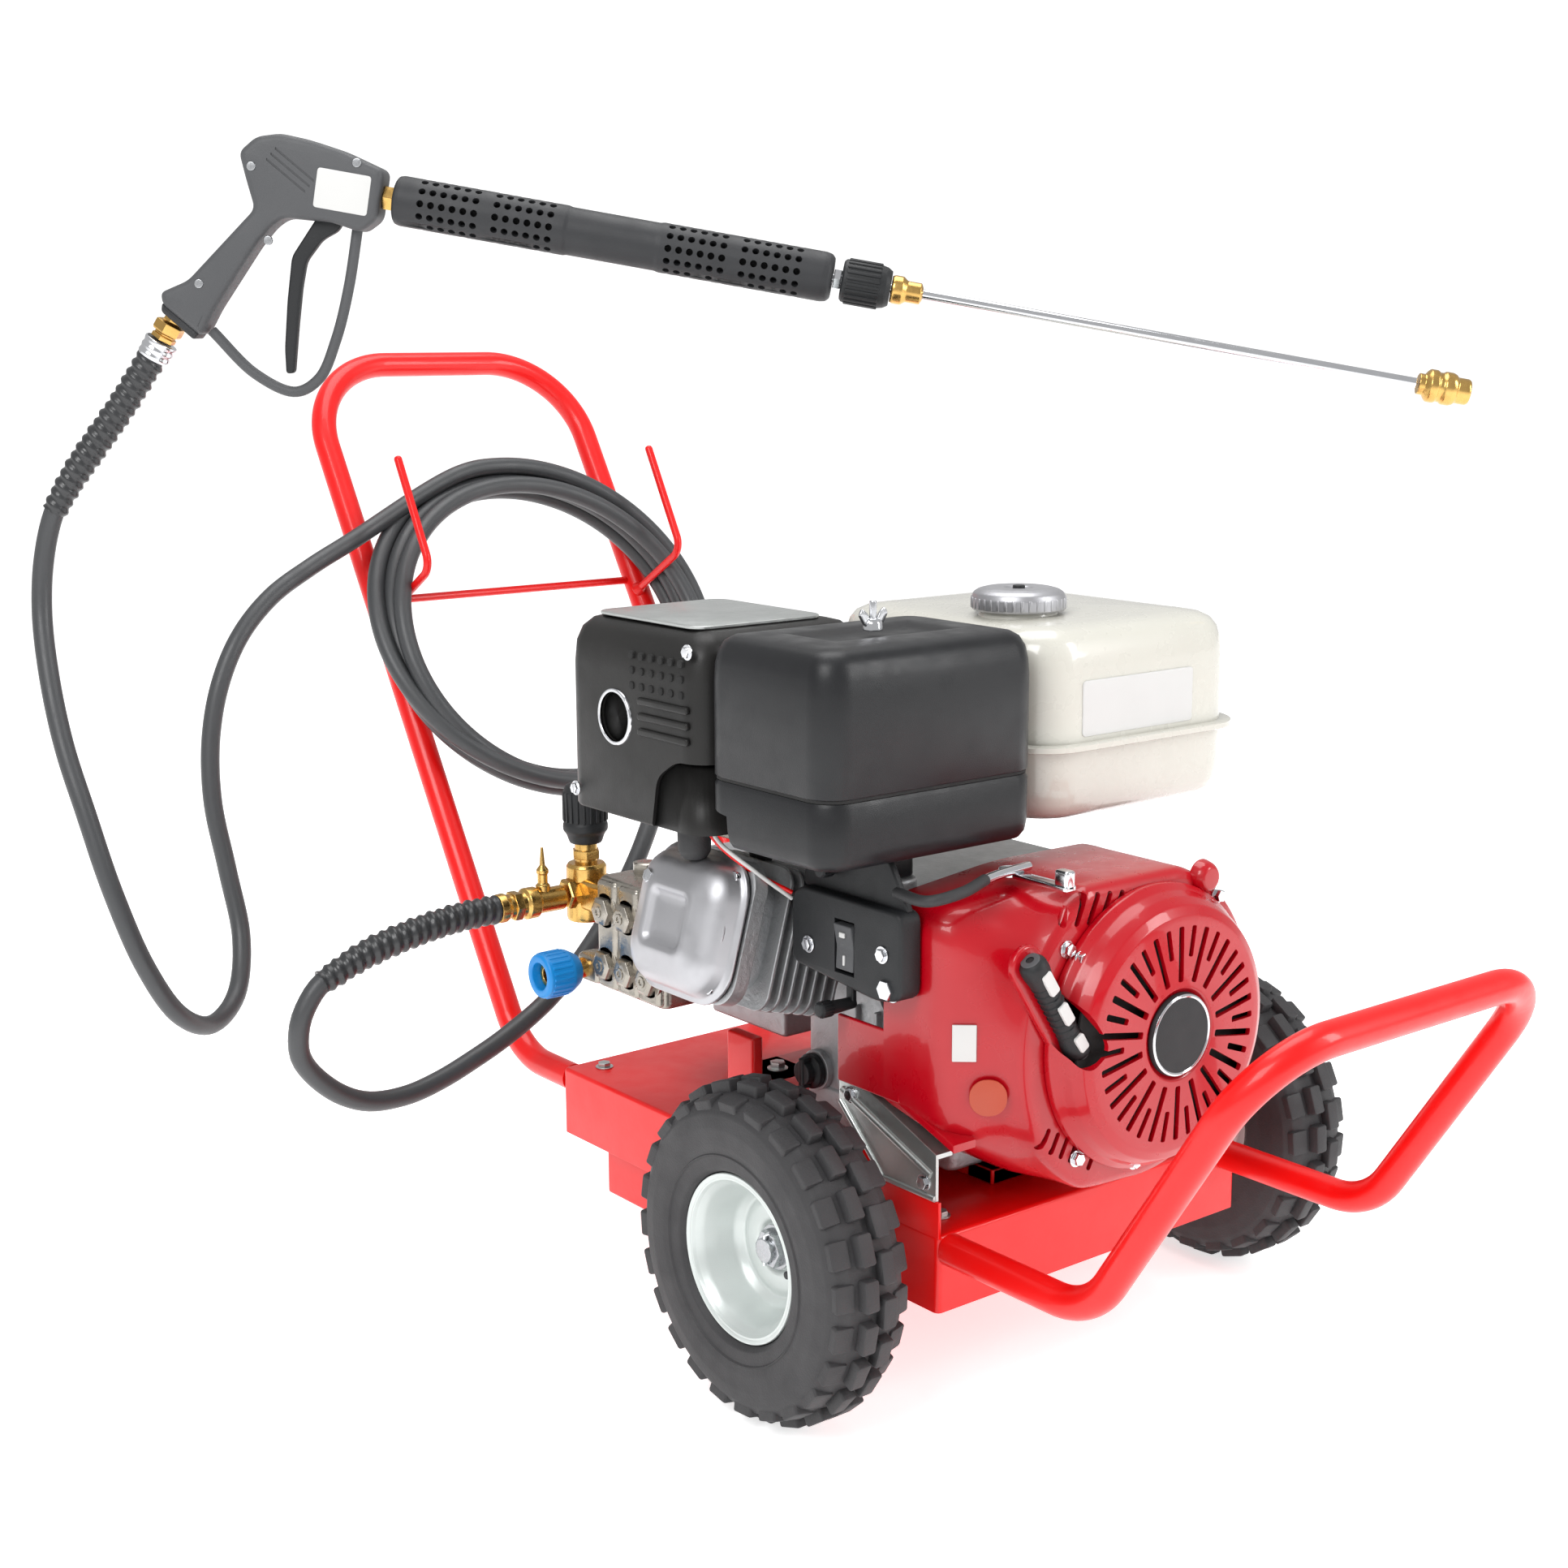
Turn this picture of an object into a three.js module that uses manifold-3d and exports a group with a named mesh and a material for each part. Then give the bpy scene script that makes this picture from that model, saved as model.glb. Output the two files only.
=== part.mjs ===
// Petrol high-pressure washer on a two-wheeled trolley.
// Millimetres. X runs along the axle, -Y is the front (starter side), +Y the push handle, +Z up.
// Everything is first placed from the middle of the axle, on the ground plane z = 0; the last lines
// move the whole group so that its origin is under the middle of the machine.
import * as THREE from "three";
import { mergeVertices } from "three/addons/utils/BufferGeometryUtils.js";
import Module from "manifold-3d";

const wasm = await Module();
wasm.setup();

// ---------------------------------------------------------------- driving sizes
const GAP = 0.3; // between pieces that touch
const DEG = Math.PI / 180;

// wheels and axle
const WHEEL_R = 133;
const TYRE_W = 74;
const TRACK = 504; // between the middles of the tyres
const RIM_R = 66;
const RIM_W = 62;
const AXLE_R = 9.5;
const HUB_R = 17;
const WHEEL_SIDES = 24; // tyre and rim share it, so that their facets line up
const HUB_INNER = 34; // hub face towards the deck, from the middle of the tyre
const HUB_OUTER = 8; // how far inside the middle of the tyre the outer hub face lies

// tubular frame and deck
const TUBE_R = 12.5;
const FRAME_W = 314; // between tube centres
const DECK_ABOVE_AXLE = 19.5; // top of the deck plate
const DECK_W = 338;
const DECK_FRONT = -100;
const DECK_REAR = 415;
const DECK_SKIRT = 62;
const UPSTAND = 27; // red ledge at the front left corner that carries the stay
const SHEET = 3;
const HANDLE_FOOT = 507; // where the leaning legs meet the level of the deck
const HANDLE_LEAN = 31.6 * DEG;
const HANDLE_LENGTH = 754;
const HANDLE_CORNER = 95;
const LOOP_FOOT = -247; // front loop: low bend and top bar
const LOOP_TOP_Y = -393;
const LOOP_RISE = 225;
const LOOP_LOW_BEND = 62;
const LOOP_CORNER = 66;

// rear stand box and its feet
const BOX_W = 296;
const BOX_FRONT = 245;
const BOX_REAR = 377;
const BOX_CLEARANCE = 37; // from the ground
const FOOT_R = 24;
const FOOT_X = 105;
const FOOT_Y = 318;

// hose, its coil and the two hooks
const HOSE_R = 8.75;
const RELIEF_R = 13; // bend protectors at both ends of the hose
const SWIVEL_LENGTH = 25;
const COIL_ALONG = 421; // coil centre, measured up the handle
const COIL_OUT = 45; // and out from the plane of the handle
const COIL_INNER = 157;
const COIL_OUTER = 187;
const COIL_WIDENING = 1.04; // the coil hangs slightly wider than it is high
const COIL_DEPTH = 52;
const HOOK_ALONG = 466;
const HOOK_X = 150;
const HOOK_REACH = 104;
const HOOK_RISE = 121;
const HOOK_R = 4;
const ROD_ALONG = 482;

// engine: heights are measured from the crankshaft
const CRANK_ABOVE_DECK = 145;
const CRANK_TO_BASE = 132;
const CASE_FRONT = -40;
const CASE_REAR = 168;
const CASE_LEFT = -95;
const CASE_RIGHT = 118;
const CYLINDER_Y = 122;
const CYLINDER_TILT = 15.5 * DEG;
const CYLINDER_R = 58;
const COVER_R = 58; // valve cover
const COVER_REACH = 270; // from the crankshaft to the face of the valve cover
const SHROUD_FRONT = -150;
const SHROUD_DEPTH = 108;
const SHROUD_R = 124;
const SHROUD_SIDE = 174;
const SHROUD_WALL = 4;
const CORNER_SLOPE = 34; // how far the front corner is cut back
const STAY_REAR = 17; // sloping stay: its rear end and the heights of its ends
const STAY_REAR_TOP = -38;
const STAY_FRONT_TOP = -81;
const STAY_LIP = 17;
const STARTER_DEPTH = 33;
const STARTER_R = 112;
const DISC_R = 87;
const SLOT_COUNT = 36;
const SLOT_WIDTH = 5.6;
const BADGE_R = 35;
const BLADE_COUNT = 8;
const GRIP_R = 11;
const GRIP_LENGTH = 97;
const GRIP_TILT = -33 * DEG;
const GRIP_AT = [-113, SHROUD_FRONT - GRIP_R - 1.5, 38];

const TANK = { x0: -41, x1: 190, y0: -70, y1: 190, bottom: 145, seam: 205, top: 298 };
const TANK_FLANGE = 8;
const TANK_WALL = 4;
const CAP_X = 21;
const CAP_Y = 20;
const CAP_R = 38;
const CAP_H = 18;

const CLEANER = { x0: -262, x1: -52, y0: -82, y1: 66, bottom: 142, seam: 194, top: 303 };
const CLEANER_WALL = 5;
const MUFFLER = { x0: -262, x1: -92, y0: 69, y1: 252, bottom: 142, top: 300 };
const CARB = { x0: -166, x1: -116, y0: -21, y1: 24, z0: 50, z1: 111 };
const LEVER_Y = 2;
const LEVER_THICK = 5;
const CONTROL_BOX = { x0: -196, x1: -175, y0: -86, y1: 42, z0: 34, z1: 106 };
const SWITCH_Y = -22;
const SWITCH_Z = 68;
const GUARD_WALL = 3;
const EXHAUST_R = 20;

// pump: sits behind the engine on the crankshaft line
const PUMP_Y0 = 203;
const PUMP_Y1 = 352;
const MANIFOLD = { x0: -190, x1: -96, y0: 222, y1: 322, z0: -42, z1: 58 };
const UNLOADER = { x: -165, y: 375, z: 30, r: 18 };
const OUTLET_REACH = 70;
const COUPLER = { x: -208, y: 338, z: -28, r: 20, length: 38 };

// gun and lance: one straight line from the gun to the quick coupler
const GUN_AT = new THREE.Vector3(-276, 483, 929);
const GUN_HEADING = -41.4 * DEG;
const GUN_DIP = 10 * DEG;
const GUN_THICK = 34;
const SLEEVE_R = 21;
const SLEEVE_L = 380;
const LANCE_R = 4.5;
const LANCE_L = 453;
const LANCE_NUT_R = 19;

// ---------------------------------------------------------------- derived places
const DECK_TOP = WHEEL_R + DECK_ABOVE_AXLE;
const TUBE_Z = DECK_TOP - TUBE_R;
const CRANK_Z = DECK_TOP + CRANK_ABOVE_DECK;
const HALF_FRAME = FRAME_W / 2;
// The hose routes and the gun are placed for a deck at 152.5 with the crankshaft 145 above it,
// and they move with both.
const DECK_LIFT = DECK_TOP - 152.5;
const CRANK_LIFT = CRANK_ABOVE_DECK - 145;
const LEAN_UP = new THREE.Vector3(0, Math.sin(HANDLE_LEAN), Math.cos(HANDLE_LEAN));
const LEAN_OUT = new THREE.Vector3(0, -Math.cos(HANDLE_LEAN), Math.sin(HANDLE_LEAN));

// A point given by x, the distance up the handle and the distance in front of it.
function onHandle(x, along, out) {
  return new THREE.Vector3(x, HANDLE_FOOT, TUBE_Z)
    .addScaledVector(LEAN_UP, along)
    .addScaledVector(LEAN_OUT, out);
}

// ---------------------------------------------------------------- finishes
function finish(color, roughness, metalness) {
  return { color, roughness, metalness };
}
const RED_PAINT = finish(0xd8131a, 0.35, 0.0);
const ENGINE_RED = finish(0xb30d1e, 0.3, 0.0);
const OFF_WHITE = finish(0xe1e0dc, 0.4, 0.0);
const BLACK = finish(0x1c1c1e, 0.45, 0.0);
const RUBBER = finish(0x37353a, 0.85, 0.0);
const ZINC = finish(0xd2d5d2, 0.35, 0.9);
const ALUMINIUM = finish(0xb4b6b8, 0.45, 0.8);
const STEEL = finish(0x9a9da0, 0.35, 1.0);
const BRASS = finish(0xc9a24a, 0.3, 1.0);
const BLUE = finish(0x0f86c9, 0.45, 0.0);
const GREY_PLASTIC = finish(0x6c6e72, 0.55, 0.0);
const HOSE_BLACK = finish(0x4a4b4d, 0.6, 0.0);

// ---------------------------------------------------------------- shape helpers
const machine = new THREE.Group();

function addPart(name, geometry, look, parent = machine) {
  const mesh = new THREE.Mesh(geometry, new THREE.MeshStandardMaterial(look));
  mesh.name = name;
  parent.add(mesh);
  return mesh;
}

function toSolid(geometry) {
  const bare = new THREE.BufferGeometry();
  const source = geometry.index ? geometry.toNonIndexed() : geometry;
  bare.setAttribute("position", source.getAttribute("position"));
  const merged = mergeVertices(bare, 1e-3);
  return new wasm.Manifold(
    new wasm.Mesh({
      numProp: 3,
      vertProperties: merged.attributes.position.array,
      triVerts: new Uint32Array(merged.index.array),
    }),
  );
}

function toGeometry(solid) {
  const mesh = solid.getMesh();
  const geometry = new THREE.BufferGeometry();
  geometry.setAttribute("position", new THREE.BufferAttribute(mesh.vertProperties, 3));
  geometry.setIndex(new THREE.BufferAttribute(mesh.triVerts, 1));
  return geometry;
}

function join(...geometries) {
  return toGeometry(geometries.map(toSolid).reduce((all, next) => all.add(next)));
}

function cross(first, second) {
  return toGeometry(toSolid(first).intersect(toSolid(second)));
}

function cut(body, ...tools) {
  return toGeometry(tools.map(toSolid).reduce((left, tool) => left.subtract(tool), toSolid(body)));
}

// A box between two corners.
function block(x0, x1, y0, y1, z0, z1) {
  const geometry = new THREE.BoxGeometry(x1 - x0, y1 - y0, z1 - z0);
  return geometry.translate((x0 + x1) / 2, (y0 + y1) / 2, (z0 + z1) / 2);
}

// A cylinder along "x", "y" or "z" that starts at (x, y, z).
function rod(axis, x, y, z, radius, length, endRadius = radius, sides = 20) {
  const profile = [
    [0, 0],
    [radius, 0],
    [endRadius, length],
    [0, length],
  ];
  return turned(axis, profile, sides).translate(x, y, z);
}

// A turned piece: [radius, distance] points, either from axis to axis or closed on themselves.
function turned(axis, profile, sides = 24) {
  const closed = profile[0][0] > 0;
  const ring = closed ? [...profile, profile[0]] : profile;
  let doubledArea = 0;
  ring.forEach(([r, a], i) => {
    const [nextR, nextA] = ring[(i + 1) % ring.length];
    doubledArea += r * nextA - nextR * a;
  });
  const ordered = doubledArea < 0 ? [...ring].reverse() : ring;
  const points = ordered.map(([r, a]) => new THREE.Vector2(r, a));
  const geometry = new THREE.LatheGeometry(points, sides);
  if (axis === "x") geometry.rotateZ(-Math.PI / 2);
  if (axis === "z") geometry.rotateX(Math.PI / 2);
  return geometry;
}

function roundedOutline(x0, x1, y0, y1, radius) {
  const shape = new THREE.Shape();
  shape.absarc(x1 - radius, y1 - radius, radius, 0, Math.PI / 2);
  shape.absarc(x0 + radius, y1 - radius, radius, Math.PI / 2, Math.PI);
  shape.absarc(x0 + radius, y0 + radius, radius, Math.PI, Math.PI * 1.5);
  shape.absarc(x1 - radius, y0 + radius, radius, Math.PI * 1.5, Math.PI * 2);
  return shape;
}

// A block with rounded upright edges and softened top and bottom edges.
function softBlock({ x0, x1, y0, y1, z0, z1 }, corner, edge, edgeSteps = 1) {
  const shape = roundedOutline(x0 + edge, x1 - edge, y0 + edge, y1 - edge, Math.max(corner - edge, 1));
  const geometry = new THREE.ExtrudeGeometry(shape, {
    depth: z1 - z0 - 2 * edge,
    curveSegments: 3,
    bevelThickness: edge,
    bevelSize: edge,
    bevelSegments: edgeSteps,
  });
  return geometry.translate(0, 0, z0 + edge);
}

// An outline in x-z, given as a THREE.Shape, made solid from y = front for a depth towards +Y.
function uprightPlate(shape, front, depth, bevel = 0) {
  const geometry = new THREE.ExtrudeGeometry(shape, {
    depth: depth - 2 * bevel,
    curveSegments: 8,
    bevelEnabled: bevel > 0,
    bevelThickness: bevel,
    bevelSize: bevel,
    bevelSegments: 2,
    bevelOffset: -bevel,
  });
  return geometry.rotateX(Math.PI / 2).translate(0, front + depth - bevel, 0);
}

// An outline in y-z made solid between two x values.
function sidePlate(points, x0, x1) {
  const shape = new THREE.Shape(points.map(([y, z]) => new THREE.Vector2(y, z)));
  const geometry = new THREE.ExtrudeGeometry(shape, { depth: x1 - x0, bevelEnabled: false });
  return geometry.rotateX(Math.PI / 2).rotateZ(Math.PI / 2).translate(x0, 0, 0);
}

// A path through corner points, each inner corner rounded by its own radius.
function bentPath(corners, radii) {
  const path = new THREE.CurvePath();
  let from = corners[0];
  for (let i = 1; i < corners.length - 1; i += 1) {
    const into = new THREE.Vector3().subVectors(corners[i], corners[i - 1]).normalize();
    const away = new THREE.Vector3().subVectors(corners[i + 1], corners[i]).normalize();
    const trim = radii[i - 1] * Math.tan(into.angleTo(away) / 2);
    const start = corners[i].clone().addScaledVector(into, -trim);
    const end = corners[i].clone().addScaledVector(away, trim);
    path.add(new THREE.LineCurve3(from, start));
    path.add(arcBetween(start, end, corners[i]));
    from = end;
  }
  path.add(new THREE.LineCurve3(from, corners[corners.length - 1]));
  return path;
}

// The round bend between two straight runs, as a cubic curve that follows the arc closely.
function arcBetween(start, end, corner) {
  const turn = Math.PI - new THREE.Vector3().subVectors(start, corner).angleTo(
    new THREE.Vector3().subVectors(end, corner),
  );
  const pull = ((4 / 3) * Math.tan(turn / 4)) / Math.tan(turn / 2);
  const first = start.clone().lerp(corner, pull);
  const second = end.clone().lerp(corner, pull);
  return new THREE.CubicBezierCurve3(start, first, second, end);
}

function tube(path, radius, sides, steps) {
  const section = new THREE.Shape();
  for (let i = 0; i < sides; i += 1) {
    const angle = (i * 2 * Math.PI) / sides;
    const method = i ? "lineTo" : "moveTo";
    section[method](radius * Math.cos(angle), radius * Math.sin(angle));
  }
  section.closePath();
  return new THREE.ExtrudeGeometry(section, { steps, extrudePath: path, bevelEnabled: false });
}

function smoothTube(points, radius, sides, steps) {
  const curve = new THREE.CatmullRomCurve3(points.map((p) => new THREE.Vector3(...p)));
  return tube(curve, radius, sides, steps);
}

// ---------------------------------------------------------------- trolley
function buildDeck() {
  const half = DECK_W / 2;
  const bottom = DECK_TOP - DECK_SKIRT;
  const outside = block(-half, half, DECK_FRONT, DECK_REAR, bottom, DECK_TOP);
  const inside = block(
    -half + SHEET, half - SHEET, DECK_FRONT + SHEET, DECK_REAR - SHEET, bottom - 1, DECK_TOP - SHEET,
  );
  const axleHole = rod("x", -half - 1, 0, WHEEL_R, AXLE_R + GAP, DECK_W + 2);
  const upstand = block(-half, -half + SHEET, DECK_FRONT, STAY_REAR - 50, DECK_TOP - SHEET, DECK_TOP + UPSTAND);
  addPart("deck", join(cut(outside, inside, axleHole), upstand), RED_PAINT);
}

function buildStandBox() {
  const half = BOX_W / 2;
  const top = DECK_TOP - SHEET - GAP;
  const shell = block(-half, half, BOX_FRONT, BOX_REAR, BOX_CLEARANCE, top);
  const room = block(
    -half + SHEET, half - SHEET, BOX_FRONT + SHEET, BOX_REAR - SHEET, BOX_CLEARANCE + SHEET, top + 1,
  );
  addPart("stand_box", cut(shell, room), RED_PAINT);
  for (const [side, name] of [[-1, "left"], [1, "right"]]) {
    const height = BOX_CLEARANCE - GAP;
    const foot = rod("z", side * FOOT_X, FOOT_Y, 0, FOOT_R, height, FOOT_R * 0.85);
    addPart("rubber_foot_" + name, foot, RUBBER);
  }
}

function buildHandle() {
  const start = DECK_REAR + GAP;
  const corners = [
    new THREE.Vector3(-HALF_FRAME, start, TUBE_Z),
    onHandle(-HALF_FRAME, 0, 0),
    onHandle(-HALF_FRAME, HANDLE_LENGTH, 0),
    onHandle(HALF_FRAME, HANDLE_LENGTH, 0),
    onHandle(HALF_FRAME, 0, 0),
    new THREE.Vector3(HALF_FRAME, start, TUBE_Z),
  ];
  const lowBend = 75;
  const path = bentPath(corners, [lowBend, HANDLE_CORNER, HANDLE_CORNER, lowBend]);
  addPart("push_handle", tube(path, TUBE_R, 8, 46), RED_PAINT);

  const reach = HALF_FRAME - TUBE_R - GAP;
  const ends = [onHandle(-reach, ROD_ALONG, 0), onHandle(reach, ROD_ALONG, 0)];
  addPart("cross_rod", tube(new THREE.LineCurve3(...ends), HOOK_R, 8, 1), RED_PAINT);

  for (const [side, name] of [[-1, "left"], [1, "right"]]) {
    const hook = bentPath(
      [
        onHandle(side * HOOK_X, HOOK_ALONG, TUBE_R + GAP),
        onHandle(side * HOOK_X, HOOK_ALONG, HOOK_REACH),
        onHandle(side * HOOK_X, HOOK_ALONG + HOOK_RISE, HOOK_REACH + 6),
      ],
      [16],
    );
    addPart("hose_hook_" + name, tube(hook, HOOK_R, 6, 10), RED_PAINT);
  }
}

function buildFrontLoop() {
  const start = DECK_FRONT - GAP;
  const top = TUBE_Z + LOOP_RISE;
  const corners = [
    new THREE.Vector3(-HALF_FRAME, start, TUBE_Z),
    new THREE.Vector3(-HALF_FRAME, LOOP_FOOT, TUBE_Z),
    new THREE.Vector3(-HALF_FRAME, LOOP_TOP_Y, top),
    new THREE.Vector3(HALF_FRAME, LOOP_TOP_Y, top),
    new THREE.Vector3(HALF_FRAME, LOOP_FOOT, TUBE_Z),
    new THREE.Vector3(HALF_FRAME, start, TUBE_Z),
  ];
  const path = bentPath(corners, [LOOP_LOW_BEND, LOOP_CORNER, LOOP_CORNER, LOOP_LOW_BEND]);
  addPart("front_loop", tube(path, TUBE_R, 8, 38), RED_PAINT);
}

// ---------------------------------------------------------------- wheels
// A plain axle with a fixed collar between the deck skirt and each hub.
function buildAxle() {
  const end = TRACK / 2 + 6;
  const hub = TRACK / 2 - HUB_INNER - GAP;
  const skirt = DECK_W / 2 + GAP;
  const half = [
    [AXLE_R, end],
    [AXLE_R, hub],
    [AXLE_R + 5, hub],
    [AXLE_R + 5, skirt],
    [AXLE_R, skirt],
  ];
  const mirrored = half.map(([r, a]) => [r, -a]).reverse();
  const profile = [[0, end], ...half, ...mirrored, [0, -end]];
  addPart("axle", turned("x", profile, 16).translate(0, 0, WHEEL_R), STEEL);
}

// Tyre section, as [radius, distance from the middle] points of a closed ring.
function tyreProfile() {
  const half = TYRE_W / 2;
  const bead = RIM_R + GAP;
  const side = [
    [bead, half - 8],
    [WHEEL_R * 0.7, half],
    [WHEEL_R * 0.87, half - 2],
    [WHEEL_R * 0.97, half - 11],
    [WHEEL_R, half - 28],
  ];
  const far = side.map(([r, a]) => [r, -a]).reverse();
  const inner = [
    [bead, -half + 16],
    [WHEEL_R * 0.88, -half + 18],
    [WHEEL_R * 0.88, half - 18],
    [bead, half - 16],
  ];
  return [...side, ...far, ...inner];
}

// Pressed rim with a dished disc and its hub; outward is +a before the wheel is placed.
function rimProfile() {
  const half = RIM_W / 2;
  const bed = RIM_R - 11;
  const disc = -HUB_OUTER - 4;
  return [
    [AXLE_R + GAP, -HUB_OUTER],
    [HUB_R, -HUB_OUTER],
    [HUB_R + 2, disc + 3],
    [bed - 12, disc + 7],
    [bed - 4, half - 12],
    [RIM_R, half],
    [RIM_R, half - 5],
    [bed, half - 16],
    [bed, -half + 16],
    [RIM_R, -half + 5],
    [RIM_R, -half],
    [bed - 4, -half + 12],
    [bed - 10, disc + 2],
    [HUB_R, disc - 3],
    [HUB_R, -HUB_INNER],
    [AXLE_R + GAP, -HUB_INNER],
  ];
}

function buildWheels() {
  for (const [side, name] of [[-1, "left"], [1, "right"]]) {
    const wheel = new THREE.Group();
    wheel.position.set((side * TRACK) / 2, 0, WHEEL_R);
    if (side < 0) wheel.rotation.z = Math.PI;
    addPart("tyre_" + name, turned("x", tyreProfile(), WHEEL_SIDES), RUBBER, wheel);
    addPart("rim_" + name, turned("x", rimProfile(), WHEEL_SIDES), ZINC, wheel);
    machine.add(wheel);

    const face = side * (TRACK / 2 - HUB_OUTER + 1);
    const thickness = side * 9;
    const nut = cut(
      rod("x", Math.min(face, face + thickness), 0, WHEEL_R, HUB_R - 2, 9, HUB_R - 2, 6),
      rod("x", -TRACK, 0, WHEEL_R, AXLE_R + GAP, 2 * TRACK),
    );
    addPart("axle_nut_" + name, nut, STEEL);
  }
}

// ---------------------------------------------------------------- engine
const engine = new THREE.Group();
engine.position.z = CRANK_Z;
machine.add(engine);

function buildEngineBase() {
  const top = -CRANK_TO_BASE - GAP;
  const bottom = -CRANK_ABOVE_DECK + GAP;
  const rails = block(-66, 92, CASE_FRONT - 10, CASE_REAR + 117, bottom, top);
  const slot = block(-20, 46, CASE_FRONT + 20, CASE_REAR + 60, bottom - 1, top + 1);
  addPart("engine_base", cut(rails, slot), RED_PAINT, engine);
}

// Sloping galvanised stay at the near side of the engine, with a turned-in top edge.
function buildEngineStay() {
  const bottom = -CRANK_ABOVE_DECK + UPSTAND + GAP;
  const outer = -DECK_W / 2;
  const front = DECK_FRONT + 3;
  const outline = [
    [front, bottom],
    [front, STAY_FRONT_TOP],
    [STAY_REAR, STAY_REAR_TOP],
    [STAY_REAR, STAY_REAR_TOP - 30],
    [STAY_REAR - 50, bottom],
  ];
  const lip = [
    [front, STAY_FRONT_TOP],
    [front, STAY_FRONT_TOP - SHEET],
    [STAY_REAR, STAY_REAR_TOP - SHEET],
    [STAY_REAR, STAY_REAR_TOP],
  ];
  const plate = sidePlate(outline, outer, outer + SHEET);
  addPart("engine_stay", join(plate, sidePlate(lip, outer, outer + STAY_LIP)), ZINC, engine);
}

function buildCrankcase() {
  const body = softBlock(
    { x0: CASE_LEFT, x1: CASE_RIGHT, y0: CASE_FRONT, y1: CASE_REAR - 8, z0: -CRANK_TO_BASE + 14, z1: 84 },
    26, 10,
  );
  const foot = block(CASE_LEFT - 2, CASE_RIGHT - 4, CASE_FRONT + 6, CASE_REAR - 20, -CRANK_TO_BASE, -100);
  const sideCover = turned(
    "y", [[0, CASE_REAR - 10], [74, CASE_REAR - 10], [70, CASE_REAR], [0, CASE_REAR]], 24,
  );
  const bearing = rod("y", 0, CASE_FRONT - 30, 0, 34, 40);
  const bore = rod("y", 0, CASE_FRONT - 40, 0, 14, CASE_REAR - CASE_FRONT + 80);
  const oilNeck = rod("x", CASE_LEFT - 6, 130, -88, 15, 20);
  addPart("crankcase", cut(join(body, foot, sideCover, bearing, oilNeck), bore), ALUMINIUM, engine);
  const capTop = [[0, 0], [14, 0], [14, 8], [9, 9], [9, 16], [0, 16]].map(([r, a]) => [r, -a]);
  const cap = turned("x", capTop, 20).translate(CASE_LEFT - 6 - GAP, 130, -88);
  addPart("oil_filler_cap", cap, BLACK, engine);
}

// The cylinder lies towards -X, tilted up; its fins are rings round its own axis.
function cylinderGroup() {
  const group = new THREE.Group();
  group.position.y = CYLINDER_Y;
  group.rotation.y = CYLINDER_TILT;
  engine.add(group);
  return group;
}

function buildCylinder() {
  const group = cylinderGroup();
  const start = 116;
  const finPitch = 14;
  const finCount = 4;
  const profile = [[0, start], [CYLINDER_R - 14, start]];
  for (let i = 0; i < finCount; i += 1) {
    const a = start + 4 + i * finPitch;
    profile.push([CYLINDER_R - 14, a], [CYLINDER_R, a], [CYLINDER_R, a + 5], [CYLINDER_R - 14, a + 5]);
  }
  const end = COVER_REACH - 34;
  profile.push([CYLINDER_R - 14, end - 12], [COVER_R - 2, end - 12], [COVER_R - 2, end], [0, end]);
  const mirrored = profile.map(([r, a]) => [r, -a]);
  addPart("cylinder_head", turned("x", mirrored, 18), ALUMINIUM, group);

  const face = COVER_REACH;
  const cover = [
    [0, face - 34 + GAP],
    [COVER_R + 3, face - 34 + GAP],
    [COVER_R + 3, face - 30],
    [COVER_R - 4, face - 26],
    [COVER_R - 9, face - 10],
    [COVER_R - 20, face - 3],
    [26, face],
    [21, face - 4],
    [0, face - 4],
  ];
  addPart("valve_cover", turned("x", cover.map(([r, a]) => [r, -a]), 24), ZINC, group);
}

function shroudOutline(inset) {
  const r = SHROUD_R - inset;
  const side = -SHROUD_SIDE + inset;
  const shape = new THREE.Shape();
  shape.moveTo(side, -70 + inset);
  shape.lineTo(-95, -112 + inset);
  shape.quadraticCurveTo(-60, -r, 0, -r);
  shape.absarc(0, 0, r, -Math.PI / 2, Math.PI * 0.42);
  shape.lineTo(-60, 119 - inset);
  shape.lineTo(side + 12, 108 - inset);
  shape.lineTo(side, 94 - inset);
  shape.closePath();
  return shape;
}

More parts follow.
